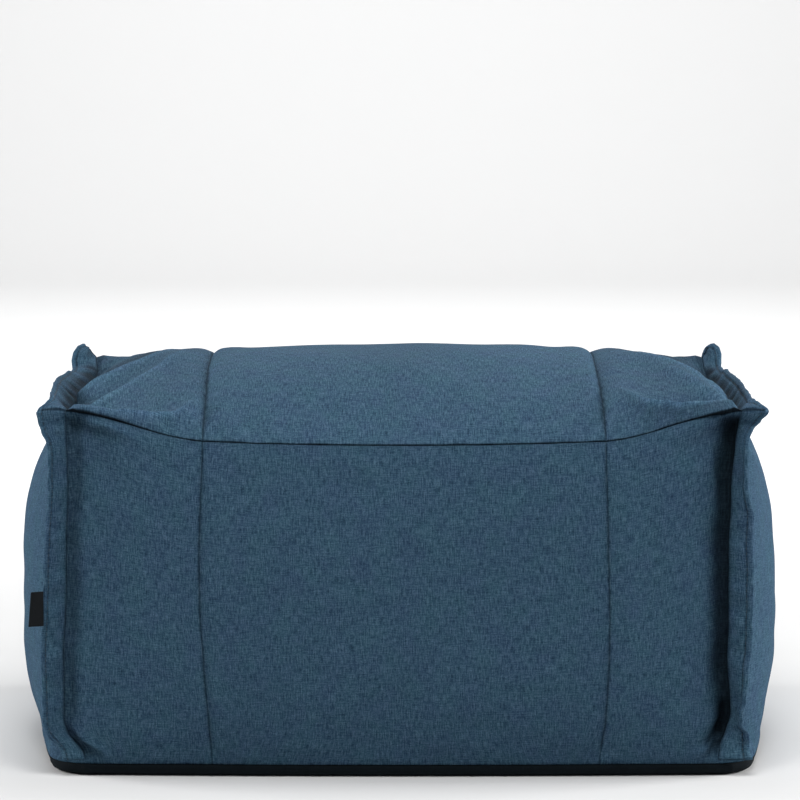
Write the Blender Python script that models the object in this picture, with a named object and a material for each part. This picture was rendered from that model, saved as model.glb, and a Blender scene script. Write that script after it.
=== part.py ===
"""Outdoor footstool: a filled cloth body with flanged end seams, a dark base panel and a bare label tab.

Metres, +Z up. The origin is under the middle of the base, and the front faces -Y.
"""

import math

import bmesh
import bpy
from mathutils import Vector

# Driving sizes of the filled body
SEAM_HALF_WIDTH = 0.3270  # middle to each end seam
SEAM_HALF_DEPTH = 0.250  # middle to the front and back seams at the corners
CORNER_HEIGHT = 0.360
CROWN_HEIGHT = 0.3945
EDGE_SAG = 0.028  # how far the long top seams hang below the corners
MIDDLE_SAG = 0.004
END_SAG = 0.013  # how far the end seams hang below the corners
END_BULGE = 0.060
FRONT_BULGE = 0.017
EDGE_BOW = 0.011  # how far the long top seams bow out at the middle
PANEL_SEAM = 0.196  # middle to the panel seams
PANEL_FALL = 0.008  # how far the crown falls from the middle to the panel seams

# Base outline and the tray of base cloth around it
BASE_HALF_WIDTH = 0.350
BASE_HALF_DEPTH = 0.251
BASE_CORNER = 0.045
BASE_BOW = 0.007  # of the front and back
BASE_END_BOW = 0.018
LIP_HEIGHT = 0.0136
BLEND_HEIGHT = 0.045  # the walls turn into the base outline below this
CLEARANCE = 0.0003

# Land that each flange stands on, and the flange cloth
LAND = 0.005
ROOT = 0.0018
FLANGE_THICKNESS = 0.0044

# Seam channels
CHANNEL_DEPTH = 0.0036
CHANNEL_WIDTH = 0.0060
PILLOW_DEPTH = 0.0035
PILLOW_WIDTH = 0.030

# Label tab
LABEL_WIDTH = 0.016
LABEL_HEIGHT = 0.034
LABEL_THICKNESS = 0.0012
LABEL_CENTRE_HEIGHT = 0.1675

NEAR = 1e-6

# Body surface below the lip: height, and how far it is drawn in from the base outline
BODY_FOOT = (
    (0.0023, 0.0150),
    (0.0050, 0.0075),
    (0.0128, 0.0045),
    (LIP_HEIGHT, 0.0008),
)

# Base tray, outside from the floor up, then inside from the rim down: height, drawn in
TRAY_OUTSIDE = ((0.0, 0.0150), (0.0010, 0.0095), (0.0034, 0.0055), (0.0125, 0.0022))
TRAY_INSIDE = ((0.0125, 0.0042), (0.0049, 0.0072), (0.0020, 0.0150))

# Sway of the end seams up the front and back corners: side, front or back, how far towards the middle
SEAM_SWAYS = ((1.0, -1.0, 0.0065), (-1.0, -1.0, -0.0025), (1.0, 1.0, 0.0030), (-1.0, 1.0, 0.0020))

# Soft folds on the top: start x, start y, end x, end y, height, half width
TOP_FOLDS = (
    (-0.322, -0.240, -0.262, 0.030, 0.0110, 0.036),
    (-0.320, -0.244, -0.236, -0.020, 0.0060, 0.030),
    (0.320, -0.236, 0.268, 0.035, 0.0140, 0.038),
    (0.320, -0.242, 0.225, -0.200, 0.0060, 0.026),
    (-0.318, 0.240, -0.268, 0.020, 0.0090, 0.036),
    (0.316, 0.240, 0.262, 0.010, 0.0090, 0.036),
)

# Hollows in the front and back: x, side (front -1, back 1), height, depth, half width, half height
WALL_HOLLOWS = (
    (-0.300, -1, 0.322, 0.0060, 0.026, 0.020),
    (-0.312, -1, 0.200, 0.0030, 0.012, 0.150),
    (0.308, -1, 0.235, 0.0075, 0.017, 0.130),
    (0.290, -1, 0.325, 0.0040, 0.030, 0.018),
    (0.300, -1, 0.045, 0.0045, 0.026, 0.014),
    (-0.292, -1, 0.035, 0.0035, 0.026, 0.012),
    (-0.306, 1, 0.230, 0.0060, 0.016, 0.130),
    (0.306, 1, 0.200, 0.0050, 0.016, 0.140),
)

# Flange sections: path place (0 front foot, 1 front top corner, 2 back top corner, 3 back foot),
# reach, turn towards the cover's own face in degrees, ripple
LEFT_FLANGE = (
    (0.00, 0.013, 20, 0.0),
    (0.06, 0.018, 30, 0.0),
    (0.18, 0.0215, 28, 0.2),
    (0.50, 0.0215, 32, 0.2),
    (0.80, 0.0205, 38, 0.3),
    (0.91, 0.0205, 36, 0.0),
    (0.96, 0.0235, 24, 0.0),
    (1.00, 0.0285, 6, 0.0),
    (1.03, 0.0240, 12, 0.0),
    (1.08, 0.0215, 20, 0.7),
    (1.50, 0.0225, 26, 1.0),
    (1.92, 0.0225, 34, 0.7),
    (1.97, 0.0245, 42, 0.0),
    (2.00, 0.0285, 46, 0.0),
    (2.04, 0.0240, 40, 0.0),
    (2.10, 0.0215, 36, 0.2),
    (2.50, 0.0215, 34, 0.2),
    (2.94, 0.018, 30, 0.0),
    (3.00, 0.013, 20, 0.0),
)
RIGHT_FLANGE = (
    (0.00, 0.013, 20, 0.0),
    (0.06, 0.018, 30, 0.0),
    (0.14, 0.0215, 62, 0.2),
    (0.32, 0.0215, 20, 0.2),
    (0.55, 0.0215, 20, 0.2),
    (0.72, 0.0215, 52, 0.3),
    (0.91, 0.0215, 44, 0.0),
    (0.96, 0.0240, 26, 0.0),
    (1.00, 0.0300, 5, 0.0),
    (1.03, 0.0245, 12, 0.0),
    (1.08, 0.0215, 22, 0.7),
    (1.50, 0.0225, 26, 1.0),
    (1.92, 0.0225, 36, 0.7),
    (1.97, 0.0245, 44, 0.0),
    (2.00, 0.0285, 50, 0.0),
    (2.04, 0.0240, 42, 0.0),
    (2.10, 0.0215, 38, 0.2),
    (2.50, 0.0215, 36, 0.2),
    (2.94, 0.018, 30, 0.0),
    (3.00, 0.013, 20, 0.0),
)
RIPPLE_DEPTH = 0.0016
RIPPLES_ON_TOP = 8

# Cloth colours
BLUE_CLOTH = (0.052, 0.098, 0.150, 1.0)
BLACK_CLOTH = (0.006, 0.007, 0.009, 1.0)
LABEL_CLOTH = (0.008, 0.009, 0.011, 1.0)


def smooth(value):
    """Eased step from 0 to 1."""
    t = min(max(value, 0.0), 1.0)
    return t * t * (3.0 - 2.0 * t)


def hill(value):
    """Soft bump: 1 at 0, falling to 0 at -1 and 1."""
    return max(0.0, 1.0 - value * value) ** 2


def ruled(table, place, column):
    """A table's column at a place between its rows, eased."""
    for low, high in zip(table, table[1:]):
        if place <= high[0]:
            share = smooth((place - low[0]) / (high[0] - low[0]))
            return low[column] + (high[column] - low[column]) * share
    return table[-1][column]


def grid_lines(stops):
    """Cuts from one stop to the next: each stop is a place and the most that the cuts before it are apart."""
    lines = [stops[0][0]]
    for place, step in stops[1:]:
        start = lines[-1]
        count = math.ceil((place - start) / step - NEAR)
        lines += [start + (place - start) * (i + 1) / count for i in range(count)]
    return lines


def mirrored(lines):
    return [-value for value in reversed(lines[1:])] + lines


X_LINES = mirrored(
    grid_lines(
        (
            (0.0, 1.0),
            (PANEL_SEAM - 0.008, 0.024),
            (PANEL_SEAM, 0.010),
            (PANEL_SEAM + 0.008, 0.010),
            (SEAM_HALF_WIDTH - 0.014, 0.0175),
            (SEAM_HALF_WIDTH - LAND, 0.010),
            (SEAM_HALF_WIDTH, 0.010),
        )
    )
)
Y_LINES = mirrored(
    grid_lines(
        (
            (0.0, 1.0),
            (SEAM_HALF_DEPTH - 0.030, 0.022),
            (SEAM_HALF_DEPTH - 0.008, 0.011),
            (SEAM_HALF_DEPTH - 0.003, 0.010),
            (SEAM_HALF_DEPTH, 0.010),
        )
    )
)
FOOT_LEVELS = [level for level, _ in BODY_FOOT]
Z_LINES = FOOT_LEVELS + grid_lines(
    (
        (LIP_HEIGHT, 1.0),
        (LIP_HEIGHT + 0.012, 0.006),
        (LIP_HEIGHT + 0.042, 0.010),
        (CORNER_HEIGHT - 0.040, 0.024),
        (CORNER_HEIGHT - 0.010, 0.015),
        (CORNER_HEIGHT - 0.003, 0.010),
        (CORNER_HEIGHT, 0.010),
    )
)[1:]


def wall_swell(t):
    """Bulge of an end from its foot (0) to its top seam (1): full and low."""
    if t > 0.42:
        return 1.0 - ((t - 0.42) / 0.58) ** 3
    return 1.0 - ((0.42 - t) / 0.42) ** 9


def front_swell(t):
    """Bulge of the front or back from its foot (0) to its top seam (1)."""
    return 1.0 - abs((t - 0.5) / 0.5) ** 2.4


def long_seam_height(x):
    """Height of the front and back top seams, which sag between the raised corners."""
    sag = 1.0 - smooth((abs(x) - 0.190) / 0.135)
    middle = max(0.0, 1.0 - (x / PANEL_SEAM) ** 2)
    return CORNER_HEIGHT - EDGE_SAG * sag - MIDDLE_SAG * middle


def end_seam_height(y):
    """Height of the end top seams between the corners."""
    return CORNER_HEIGHT - END_SAG * (1.0 - abs(y / SEAM_HALF_DEPTH) ** 3)


def crown_line(x):
    """Height of the top at mid-depth."""
    fall = PANEL_FALL * min(1.0, (x / PANEL_SEAM) ** 2)
    out = max(0.0, (abs(x) - PANEL_SEAM) / (SEAM_HALF_WIDTH - PANEL_SEAM))
    end = CROWN_HEIGHT - PANEL_FALL - end_seam_height(0.0)
    return CROWN_HEIGHT - fall - end * out**2.4


def top_height(x, y):
    """Height of the top over a place."""
    b = abs(y / SEAM_HALF_DEPTH)
    rise = (1.0 - b**2.3) ** 0.78 if b < 1.0 else 0.0
    edge = long_seam_height(x)
    height = edge + (crown_line(x) - edge) * rise
    near_end = smooth((abs(x) - 0.300) / (SEAM_HALF_WIDTH - 0.300))
    return height + (end_seam_height(y) - height) * near_end


def rounded(p, q):
    """A place on the edge of the base's plain rectangle, moved onto its rounded corner."""
    sx, sy = math.copysign(1.0, p), math.copysign(1.0, q)
    half_x = SEAM_HALF_WIDTH
    half_y = SEAM_HALF_DEPTH
    to_x, to_y = half_x - abs(p), half_y - abs(q)
    span = BASE_CORNER
    along_x = BASE_HALF_WIDTH - span
    along_y = BASE_HALF_DEPTH - span
    if to_x < span and to_y < NEAR:
        angle = math.radians(45.0) * (1.0 - to_x / span)
        return sx * (along_x + span * math.sin(angle)), sy * (along_y + span * math.cos(angle))
    if to_y < span and to_x < NEAR:
        angle = math.radians(45.0) * (1.0 - to_y / span)
        return sx * (along_x + span * math.cos(angle)), sy * (along_y + span * math.sin(angle))
    if to_y < NEAR:
        share = p / (half_x - span)
        return along_x * share, sy * (BASE_HALF_DEPTH + BASE_BOW * (1.0 - share * share))
    share = q / (half_y - span)
    return sx * (BASE_HALF_WIDTH + BASE_END_BOW * (1.0 - share * share)), along_y * share


def perimeter():
    """Grid places once round the box, seen from above, anticlockwise."""
    x_end, y_end = SEAM_HALF_WIDTH, SEAM_HALF_DEPTH
    places = [(p, -y_end) for p in X_LINES[:-1]]
    places += [(x_end, q) for q in Y_LINES[:-1]]
    places += [(p, y_end) for p in reversed(X_LINES[1:])]
    places += [(-x_end, q) for q in reversed(Y_LINES[1:])]
    return places


def place_key(p, q):
    return round(p, 5), round(q, 5)


def base_outline():
    """Each perimeter place's point on the base outline, and the direction out of it."""
    places = perimeter()
    points = [Vector(rounded(p, q)) for p, q in places]
    found = {}
    for i, (p, q) in enumerate(places):
        along = points[(i + 1) % len(points)] - points[i - 1]
        found[place_key(p, q)] = (points[i], Vector((along.y, -along.x)).normalized())
    return found


OUTLINE = base_outline()


def base_point(p, q, height, drawn_in):
    point, outward = OUTLINE[place_key(p, q)]
    moved = point - outward * drawn_in
    return Vector((moved.x, moved.y, height))


def wall_point(p, q, r):
    """A place on the filled walls, top seams included, before it blends into the base."""
    on_end = abs(p) > SEAM_HALF_WIDTH - NEAR
    on_long = abs(q) > SEAM_HALF_DEPTH - NEAR
    sx, sy = math.copysign(1.0, p), math.copysign(1.0, q)
    share_x, share_y = p / SEAM_HALF_WIDTH, q / SEAM_HALF_DEPTH
    t = (r - LIP_HEIGHT) / (CORNER_HEIGHT - LIP_HEIGHT)
    bow = EDGE_BOW * (1.0 - share_x**4)
    edge = long_seam_height(p) if on_long else end_seam_height(q)
    x, y, z = p, q, LIP_HEIGHT + t * (edge - LIP_HEIGHT)
    if on_end and not on_long:
        x = sx * (SEAM_HALF_WIDTH + END_BULGE * wall_swell(t) * (1.0 - abs(share_y) ** 2.4))
    if on_long:
        y = sy * (SEAM_HALF_DEPTH + bow + FRONT_BULGE * front_swell(t) * (1.0 - share_x**4))
    return Vector((x, y, z))


def seam_sway(p, q, r):
    """How far the end seam's corner wanders in x as it goes up."""
    t = (r - LIP_HEIGHT) / (CORNER_HEIGHT - LIP_HEIGHT)
    up = smooth(t / 0.25) * smooth((1.0 - t) / 0.15)
    near_seam = smooth((abs(p) - 0.27) / 0.05) * smooth((abs(q) - 0.10) / 0.15)
    for side, end, inward in SEAM_SWAYS:
        if side * p > 0.0 and end * q > 0.0:
            return Vector((-side * inward * up * near_seam, 0.0, 0.0))
    return Vector()


def land_shift(p, q, r):
    """Opens the end seams into a narrow land, square to the flange that stands on it."""
    on_end = abs(p) > SEAM_HALF_WIDTH - NEAR
    beside = not on_end and abs(p) > SEAM_HALF_WIDTH - LAND - NEAR
    on_long = abs(q) > SEAM_HALF_DEPTH - NEAR
    on_top = r > CORNER_HEIGHT - NEAR
    if not (on_long or on_top) or not (on_end or beside):
        return Vector()
    away = -ROOT if on_end else ROOT
    sx, sy = math.copysign(1.0, p), math.copysign(1.0, q)
    seam_x = sx * (SEAM_HALF_WIDTH - away)
    return Vector((seam_x - p, sy * away if on_long else 0.0, away if on_top else 0.0))


def body_point(p, q, r):
    """Where a point of the uncut box goes on the filled body."""
    on_wall = abs(p) > SEAM_HALF_WIDTH - NEAR or abs(q) > SEAM_HALF_DEPTH - NEAR
    if on_wall and r < LIP_HEIGHT + NEAR:
        drawn_in = next(inset for level, inset in BODY_FOOT if abs(level - r) < NEAR)
        return base_point(p, q, r, drawn_in)
    if on_wall:
        upper = wall_point(p, q, r) + land_shift(p, q, r) + seam_sway(p, q, r)
        share = smooth((r - LIP_HEIGHT) / BLEND_HEIGHT)
        return base_point(p, q, upper.z, 0.0).lerp(upper, share)
    if r > CORNER_HEIGHT - NEAR:
        bow = EDGE_BOW * (1.0 - (p / SEAM_HALF_WIDTH) ** 4)
        y = q * (SEAM_HALF_DEPTH + bow) / SEAM_HALF_DEPTH
        return Vector((p, y, top_height(p, q))) + land_shift(p, q, r)
    x_share, y_share = p / SEAM_HALF_WIDTH, q / SEAM_HALF_DEPTH
    inset = BODY_FOOT[0][1]
    return Vector((x_share * (BASE_HALF_WIDTH - inset), y_share * (BASE_HALF_DEPTH - inset), r))


def fold_push(x, y):
    """How far the soft folds raise the top over a place."""
    push = 0.0
    for x0, y0, x1, y1, height, half_width in TOP_FOLDS:
        run = Vector((x1 - x0, y1 - y0))
        off = Vector((x - x0, y - y0))
        share = off.dot(run) / run.length_squared
        side = (off - run * min(max(share, 0.0), 1.0)).length / half_width
        if side < 1.0:
            push += height * hill(side) * smooth(share * 5.0) * smooth((1.15 - share) * 3.0)
    return push


def wall_push(x, side, z):
    """How far the hollows draw in the front or back at a place."""
    push = 0.0
    for hollow_x, hollow_side, hollow_z, depth, half_width, half_height in WALL_HOLLOWS:
        if side == hollow_side:
            push -= depth * hill((x - hollow_x) / (1.6 * half_width)) * hill((z - hollow_z) / (1.3 * half_height))
    return push


def channel_push(distance):
    """Draws the cloth in at a sewn seam, with the panel swelling away from it."""
    sharp = CHANNEL_DEPTH * math.exp(-((distance / CHANNEL_WIDTH) ** 2))
    broad = PILLOW_DEPTH * math.exp(-((distance / PILLOW_WIDTH) ** 2))
    return -sharp - broad


def surface_push(p, q, r):
    """How far a point of the body moves along its normal, for seams, folds and hollows."""
    on_end = abs(p) > SEAM_HALF_WIDTH - NEAR
    near_end = smooth((SEAM_HALF_WIDTH - LAND - abs(p)) / 0.012)
    if on_end or near_end == 0.0 or r < LIP_HEIGHT + NEAR:
        return 0.0
    near_foot = smooth((r - LIP_HEIGHT) / 0.03)
    push = channel_push(abs(p) - PANEL_SEAM)
    if r > CORNER_HEIGHT - NEAR:
        push += fold_push(p, q)
        push += channel_push((SEAM_HALF_DEPTH - abs(q)) * 1.6)
    else:
        push += wall_push(p, math.copysign(1.0, q), r)
        push += channel_push((CORNER_HEIGHT - r) * 1.6)
    return push * near_end * near_foot


def cut_box():
    """A box cut along the grid lines."""
    bm = bmesh.new()
    bmesh.ops.create_cube(bm, size=1.0)
    low, high = Z_LINES[0], Z_LINES[-1]
    for vert in bm.verts:
        vert.co.x *= 2.0 * SEAM_HALF_WIDTH
        vert.co.y *= 2.0 * SEAM_HALF_DEPTH
        vert.co.z = low + (vert.co.z + 0.5) * (high - low)
    for axis, lines in enumerate((X_LINES, Y_LINES, Z_LINES)):
        normal = Vector([1.0 if i == axis else 0.0 for i in range(3)])
        for value in lines[1:-1]:
            everything = bm.verts[:] + bm.edges[:] + bm.faces[:]
            bmesh.ops.bisect_plane(bm, geom=everything, dist=NEAR, plane_co=normal * value, plane_no=normal)
    return bm


def grid_key(p, q, r):
    return round(p, 5), round(q, 5), round(r, 5)


def make_object(name, bm, collection, material):
    """A named object with one material, shaded smooth."""
    mesh = bpy.data.meshes.new(name)
    bm.to_mesh(mesh)
    bm.free()
    mesh.materials.append(material)
    mesh.shade_smooth()
    mesh.set_sharp_from_angle(angle=math.radians(50.0))
    obj = bpy.data.objects.new(name, mesh)
    collection.objects.link(obj)
    return obj


def cloth(name, colour, roughness):
    material = bpy.data.materials.new(name)
    material.use_nodes = True
    shader = material.node_tree.nodes["Principled BSDF"]
    shader.inputs["Base Color"].default_value = colour
    shader.inputs["Roughness"].default_value = roughness
    shader.inputs["Metallic"].default_value = 0.0
    return material


def make_cover(collection, material):
    """The filled body. Also gives where each point of the uncut box went."""
    bm = cut_box()
    uncut = [vert.co.copy() for vert in bm.verts]
    for vert, place in zip(bm.verts, uncut):
        vert.co = body_point(*place)
    bm.normal_update()
    pushes = [vert.normal * surface_push(*place) for vert, place in zip(bm.verts, uncut)]
    for vert, push in zip(bm.verts, pushes):
        vert.co += push
    went = {grid_key(*place): vert.co.copy() for vert, place in zip(bm.verts, uncut)}
    floor = Z_LINES[0]
    underside = [face for face in bm.faces if all(abs(v.co.z - floor) < NEAR for v in face.verts)]
    bmesh.ops.dissolve_faces(bm, faces=underside, use_verts=True)
    return make_object("cover", bm, collection, material), went


def loft(rings, closed):
    """A skin over rings of points: a closed run of rings, or an open one with its two ends capped."""
    bm = bmesh.new()
    made = [[bm.verts.new(point) for point in ring] for ring in rings]
    pairs = list(zip(made, made[1:]))
    if closed:
        pairs.append((made[-1], made[0]))
    for first, second in pairs:
        for i in range(len(first)):
            j = (i + 1) % len(first)
            bm.faces.new((first[i], first[j], second[j], second[i]))
    if not closed:
        bm.faces.new(made[0])
        bm.faces.new(made[-1])
    bmesh.ops.recalc_face_normals(bm, faces=bm.faces)
    return bm


def flange_path(side):
    """Places up the front corner, over the end's top edge and down the back: path place, grid place."""
    levels = [r for r in Z_LINES if r > LIP_HEIGHT + 0.002]
    low, high = levels[0], CORNER_HEIGHT
    x = side * SEAM_HALF_WIDTH
    path = [((r - low) / (high - low), (x, -SEAM_HALF_DEPTH, r)) for r in levels]
    path += [(1.5 + 0.5 * q / SEAM_HALF_DEPTH, (x, q, high)) for q in Y_LINES[1:]]
    path += [(3.0 - (r - low) / (high - low), (x, SEAM_HALF_DEPTH, r)) for r in reversed(levels[:-1])]
    return path


def edge_direction(place):
    """Square to the path in the plane of the end: forward on the front, up on top, back on the back."""
    if place < 1.5:
        angle = smooth((place - 0.955) / 0.09) * 90.0
    else:
        angle = 90.0 + smooth((place - 1.955) / 0.09) * 90.0
    return Vector((0.0, -math.cos(math.radians(angle)), math.sin(math.radians(angle))))


def flange_ring(side, went, table, place, grid_place):
    """One section of the flange: up its cover side, round the outer edge, down its end side."""
    x, y, z = grid_place
    inner = went[grid_key(x - side * LAND, y, z)]
    outer = went[grid_key(x, y, z)]
    reach = ruled(table, place, 1)
    turn = math.radians(ruled(table, place, 2))
    wave = math.sin(2.0 * math.pi * RIPPLES_ON_TOP * (place - 1.0))
    ripple = RIPPLE_DEPTH * ruled(table, place, 3) * wave
    edge = edge_direction(place)
    outward = Vector((side, 0.0, 0.0)) * math.cos(turn) + edge * math.sin(turn)
    rooted = (Vector((side, 0.0, 0.0)) + edge).normalized()
    across = Vector((side, 0.0, 0.0)) * -math.sin(turn) + edge * math.cos(turn)
    width = (inner - outer).normalized()
    root = (inner + outer) / 2.0
    half = FLANGE_THICKNESS / 2.0
    stages = ((0.0, 0.55), (0.22, 0.75), (0.6, 1.05), (0.93, 0.95))
    near, far = [], []
    for share, fullness in stages:
        start = root + rooted * (CLEARANCE + min(share * reach, 0.004))
        centre = start + outward * max(0.0, share * reach - 0.004) + across * ripple * share
        spread = width.lerp(across, smooth(share * 4.0)).normalized() * half * fullness
        near.append(centre + spread)
        far.append(centre - spread)
    tip = root + rooted * 0.004 + outward * (reach - 0.004) + across * ripple
    return near + [tip] + far[::-1]


def make_flange(name, side, went, table, collection, material):
    """A U of doubled cloth on one end seam, with an ear at each top corner."""
    rings = [flange_ring(side, went, table, place, grid) for place, grid in flange_path(side)]
    return make_object(name, loft(rings, closed=False), collection, material)


def make_base_panel(collection, material):
    """The tray of base cloth: its flat underside, its low rim and the inside that the body sits in."""
    rings = []
    for height, drawn_in in TRAY_OUTSIDE + TRAY_INSIDE:
        rings.append([base_point(p, q, height, drawn_in) for p, q in perimeter()])
    return make_object("base_panel", loft(rings, closed=False), collection, material)


def make_label(went, collection, material):
    """A bare folded tab at the outer edge of the left flange, with rounded corners."""
    levels = [r for r in Z_LINES if r > LIP_HEIGHT + 0.002]
    level = min(levels, key=lambda r: abs(r - LABEL_CENTRE_HEIGHT))
    place = (level - levels[0]) / (CORNER_HEIGHT - levels[0])
    grid_place = (-SEAM_HALF_WIDTH, -SEAM_HALF_DEPTH, level)
    ring = flange_ring(-1.0, went, LEFT_FLANGE, place, grid_place)
    tip = ring[len(ring) // 2]
    start = tip + (tip - (ring[0] + ring[-1]) / 2.0).normalized() * LABEL_THICKNESS
    outward = Vector((-0.98, 0.20, 0.0)).normalized()
    bm = bmesh.new()
    bmesh.ops.create_cube(bm, size=1.0)
    for vert in bm.verts:
        along = (vert.co.x + 0.5) * LABEL_WIDTH + 2.0 * CLEARANCE
        across = vert.co.y * LABEL_THICKNESS
        lean = 0.0015 * (vert.co.z * 2.0)
        sideways = Vector((-outward.y, outward.x, 0.0))
        vert.co = Vector((start.x, start.y, LABEL_CENTRE_HEIGHT + vert.co.z * LABEL_HEIGHT))
        vert.co += outward * (along + lean) + sideways * across
    return make_object("label_tab", bm, collection, material)


def main():
    for obj in list(bpy.data.objects):
        bpy.data.objects.remove(obj, do_unlink=True)
    collection = bpy.data.collections.new("outdoor_footstool")
    bpy.context.scene.collection.children.link(collection)
    blue = cloth("blue_cloth", BLUE_CLOTH, 0.92)
    black = cloth("base_cloth", BLACK_CLOTH, 0.85)
    tab = cloth("label_cloth", LABEL_CLOTH, 0.7)
    _, went = make_cover(collection, blue)
    make_flange("left_flange", -1.0, went, LEFT_FLANGE, collection, blue)
    make_flange("right_flange", 1.0, went, RIGHT_FLANGE, collection, blue)
    make_base_panel(collection, black)
    make_label(went, collection, tab)


main()
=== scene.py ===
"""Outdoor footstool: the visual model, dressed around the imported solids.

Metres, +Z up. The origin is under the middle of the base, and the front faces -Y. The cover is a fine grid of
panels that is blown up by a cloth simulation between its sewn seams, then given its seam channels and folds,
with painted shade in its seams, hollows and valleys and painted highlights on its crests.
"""

import logging
import math
from collections.abc import Callable, Iterable
from dataclasses import dataclass
from enum import Enum

import bmesh
import bpy
import numpy as np
from bpy.types import Material, Mesh, NodeSocket, NodeTree, Object, bpy_prop_collection
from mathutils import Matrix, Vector


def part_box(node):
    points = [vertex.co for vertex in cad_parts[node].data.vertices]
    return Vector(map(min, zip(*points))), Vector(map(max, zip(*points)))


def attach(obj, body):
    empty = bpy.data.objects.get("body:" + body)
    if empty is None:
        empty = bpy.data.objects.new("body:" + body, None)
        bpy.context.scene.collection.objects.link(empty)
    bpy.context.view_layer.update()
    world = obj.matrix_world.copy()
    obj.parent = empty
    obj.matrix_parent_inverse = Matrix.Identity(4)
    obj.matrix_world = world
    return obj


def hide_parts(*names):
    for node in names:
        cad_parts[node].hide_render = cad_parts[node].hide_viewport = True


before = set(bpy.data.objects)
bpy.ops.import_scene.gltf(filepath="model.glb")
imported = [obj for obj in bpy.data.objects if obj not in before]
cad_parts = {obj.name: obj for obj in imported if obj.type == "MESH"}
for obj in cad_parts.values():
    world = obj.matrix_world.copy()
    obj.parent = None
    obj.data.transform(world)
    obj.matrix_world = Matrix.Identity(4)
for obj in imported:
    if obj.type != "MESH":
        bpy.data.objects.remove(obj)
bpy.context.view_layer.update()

Array = np.ndarray
LOG = logging.getLogger("outdoor_footstool")
PLACE = "place"
PINNED = "pinned"
WEAVE_MAP = "weave"
# Point attribute of painted shade (above zero) and painted highlight (below zero) that scales the cloth's
# colour
PAINTED_LIGHT_AND_SHADE = "shade"
NEAR = 1e-5
ON_FACE = 2e-4
SEED = 11


class Panel(Enum):
    """The cover's panels, by where they face."""

    TOP = "top"
    FRONT = "front"
    BACK = "back"
    LEFT_END = "left_end"
    RIGHT_END = "right_end"


class Slot(Enum):
    """The record's material slots."""

    COVER = "cover_cloth"
    BASE = "base_cloth"
    LABEL = "label_cloth"


def smooth(value: Array | float) -> Array:
    """Eased step from 0 to 1."""
    t = np.clip(value, 0.0, 1.0)
    return t * t * (3.0 - 2.0 * t)


def hill(value: Array | float) -> Array:
    """Soft bump: 1 at 0, falling to 0 at -1 and 1."""
    return np.maximum(0.0, 1.0 - np.square(value)) ** 2


def bell(away: Array, reach: float) -> Array:
    """Soft bump: 1 at 0, nearly gone at twice its reach."""
    return np.exp(-((away / reach) ** 2))


def unit(vectors: Array) -> Array:
    """The rows of an array of vectors, each made one long."""
    return vectors / np.maximum(np.linalg.norm(vectors, axis=-1, keepdims=True), 1e-12)


def eased_row(table: tuple, places: Array, column: int) -> Array:
    """A table's column at places between its rows.

    Args:
        table: rows that start with their place, in order.
        places: where to read it.
        column: which column to read.

    Returns:
        The column's value at each place, eased from row to row.
    """
    stops = np.array([row[0] for row in table])
    values = np.array([row[column] for row in table])
    index = np.clip(np.searchsorted(stops, places, side="right") - 1, 0, len(stops) - 2)
    share = smooth((places - stops[index]) / (stops[index + 1] - stops[index]))
    return values[index] + (values[index + 1] - values[index]) * share


def grid_lines(stops: tuple) -> list[float]:
    """Cuts from one stop to the next.

    Args:
        stops: each stop is a place and the most that the cuts before it are apart.

    Returns:
        The cuts, from the first stop to the last.
    """
    lines = [stops[0][0]]
    for place, step in stops[1:]:
        start = lines[-1]
        count = math.ceil((place - start) / step - 1e-6)
        lines += [start + (place - start) * (i + 1) / count for i in range(count)]
    return lines


def mirrored(lines: list[float]) -> list[float]:
    """The same cuts on both sides of the middle."""
    return [-value for value in reversed(lines[1:])] + lines


def item_rows(items: bpy_prop_collection, field: str) -> Array:
    """A field of every item in a collection, as rows of x, y and z.

    Args:
        items: the collection, such as a mesh's vertices.
        field: the field's name.

    Returns:
        A row for each item.
    """
    found = np.empty(len(items) * 3, np.float32)
    items.foreach_get(field, found)
    return found.reshape(-1, 3).astype(np.float64)


def item_numbers(items: bpy_prop_collection, field: str) -> Array:
    """A whole-number field of every item in a collection.

    Args:
        items: the collection, such as a mesh's loops.
        field: the field's name.

    Returns:
        A number for each item.
    """
    found = np.empty(len(items), np.int32)
    items.foreach_get(field, found)
    return found


def mesh_points(mesh: Mesh) -> Array:
    """A mesh's points, as rows of x, y and z."""
    return item_rows(mesh.vertices, "co")


def mesh_normals(mesh: Mesh) -> Array:
    """A mesh's point normals, as rows of x, y and z."""
    return item_rows(mesh.vertex_normals, "vector")


def mesh_places(mesh: Mesh) -> Array:
    """Where each point was on the uncut box, from the attribute that carries it."""
    return item_rows(mesh.attributes[PLACE].data, "vector")


def move_points(mesh: Mesh, points: Array) -> None:
    """Puts a mesh's points where the rows say."""
    mesh.vertices.foreach_set("co", points.astype(np.float32).ravel())
    mesh.update()


def carry_painted_shade(mesh: Mesh, shade: Array) -> None:
    """Keeps the painted shade (above zero) and painted highlight (below zero) at each point, for its finish
    to read.
    """
    carried = mesh.attributes.new(PAINTED_LIGHT_AND_SHADE, "FLOAT", "POINT")
    carried.data.foreach_set("value", shade.astype(np.float32))


def plain_copy(obj: Object) -> Mesh:
    """The evaluated mesh of an object, as a mesh of its own."""
    graph = bpy.context.evaluated_depsgraph_get()
    return bpy.data.meshes.new_from_object(
        obj.evaluated_get(graph), preserve_all_data_layers=True, depsgraph=graph
    )


def new_object(name: str, mesh: Mesh) -> Object:
    """A named object in the scene, at the origin.

    Args:
        name: its name.
        mesh: its mesh.

    Returns:
        The object.
    """
    obj = bpy.data.objects.new(name, mesh)
    bpy.context.scene.collection.objects.link(obj)
    return obj


def settle_modifiers(obj: Object) -> None:
    """Turns an object's modifiers into plain mesh.

    Args:
        obj: the object, whose modifiers go.
    """
    made = plain_copy(obj)
    old = obj.data
    obj.modifiers.clear()
    obj.data = made
    bpy.data.meshes.remove(old)
    made.name = obj.name


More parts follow.
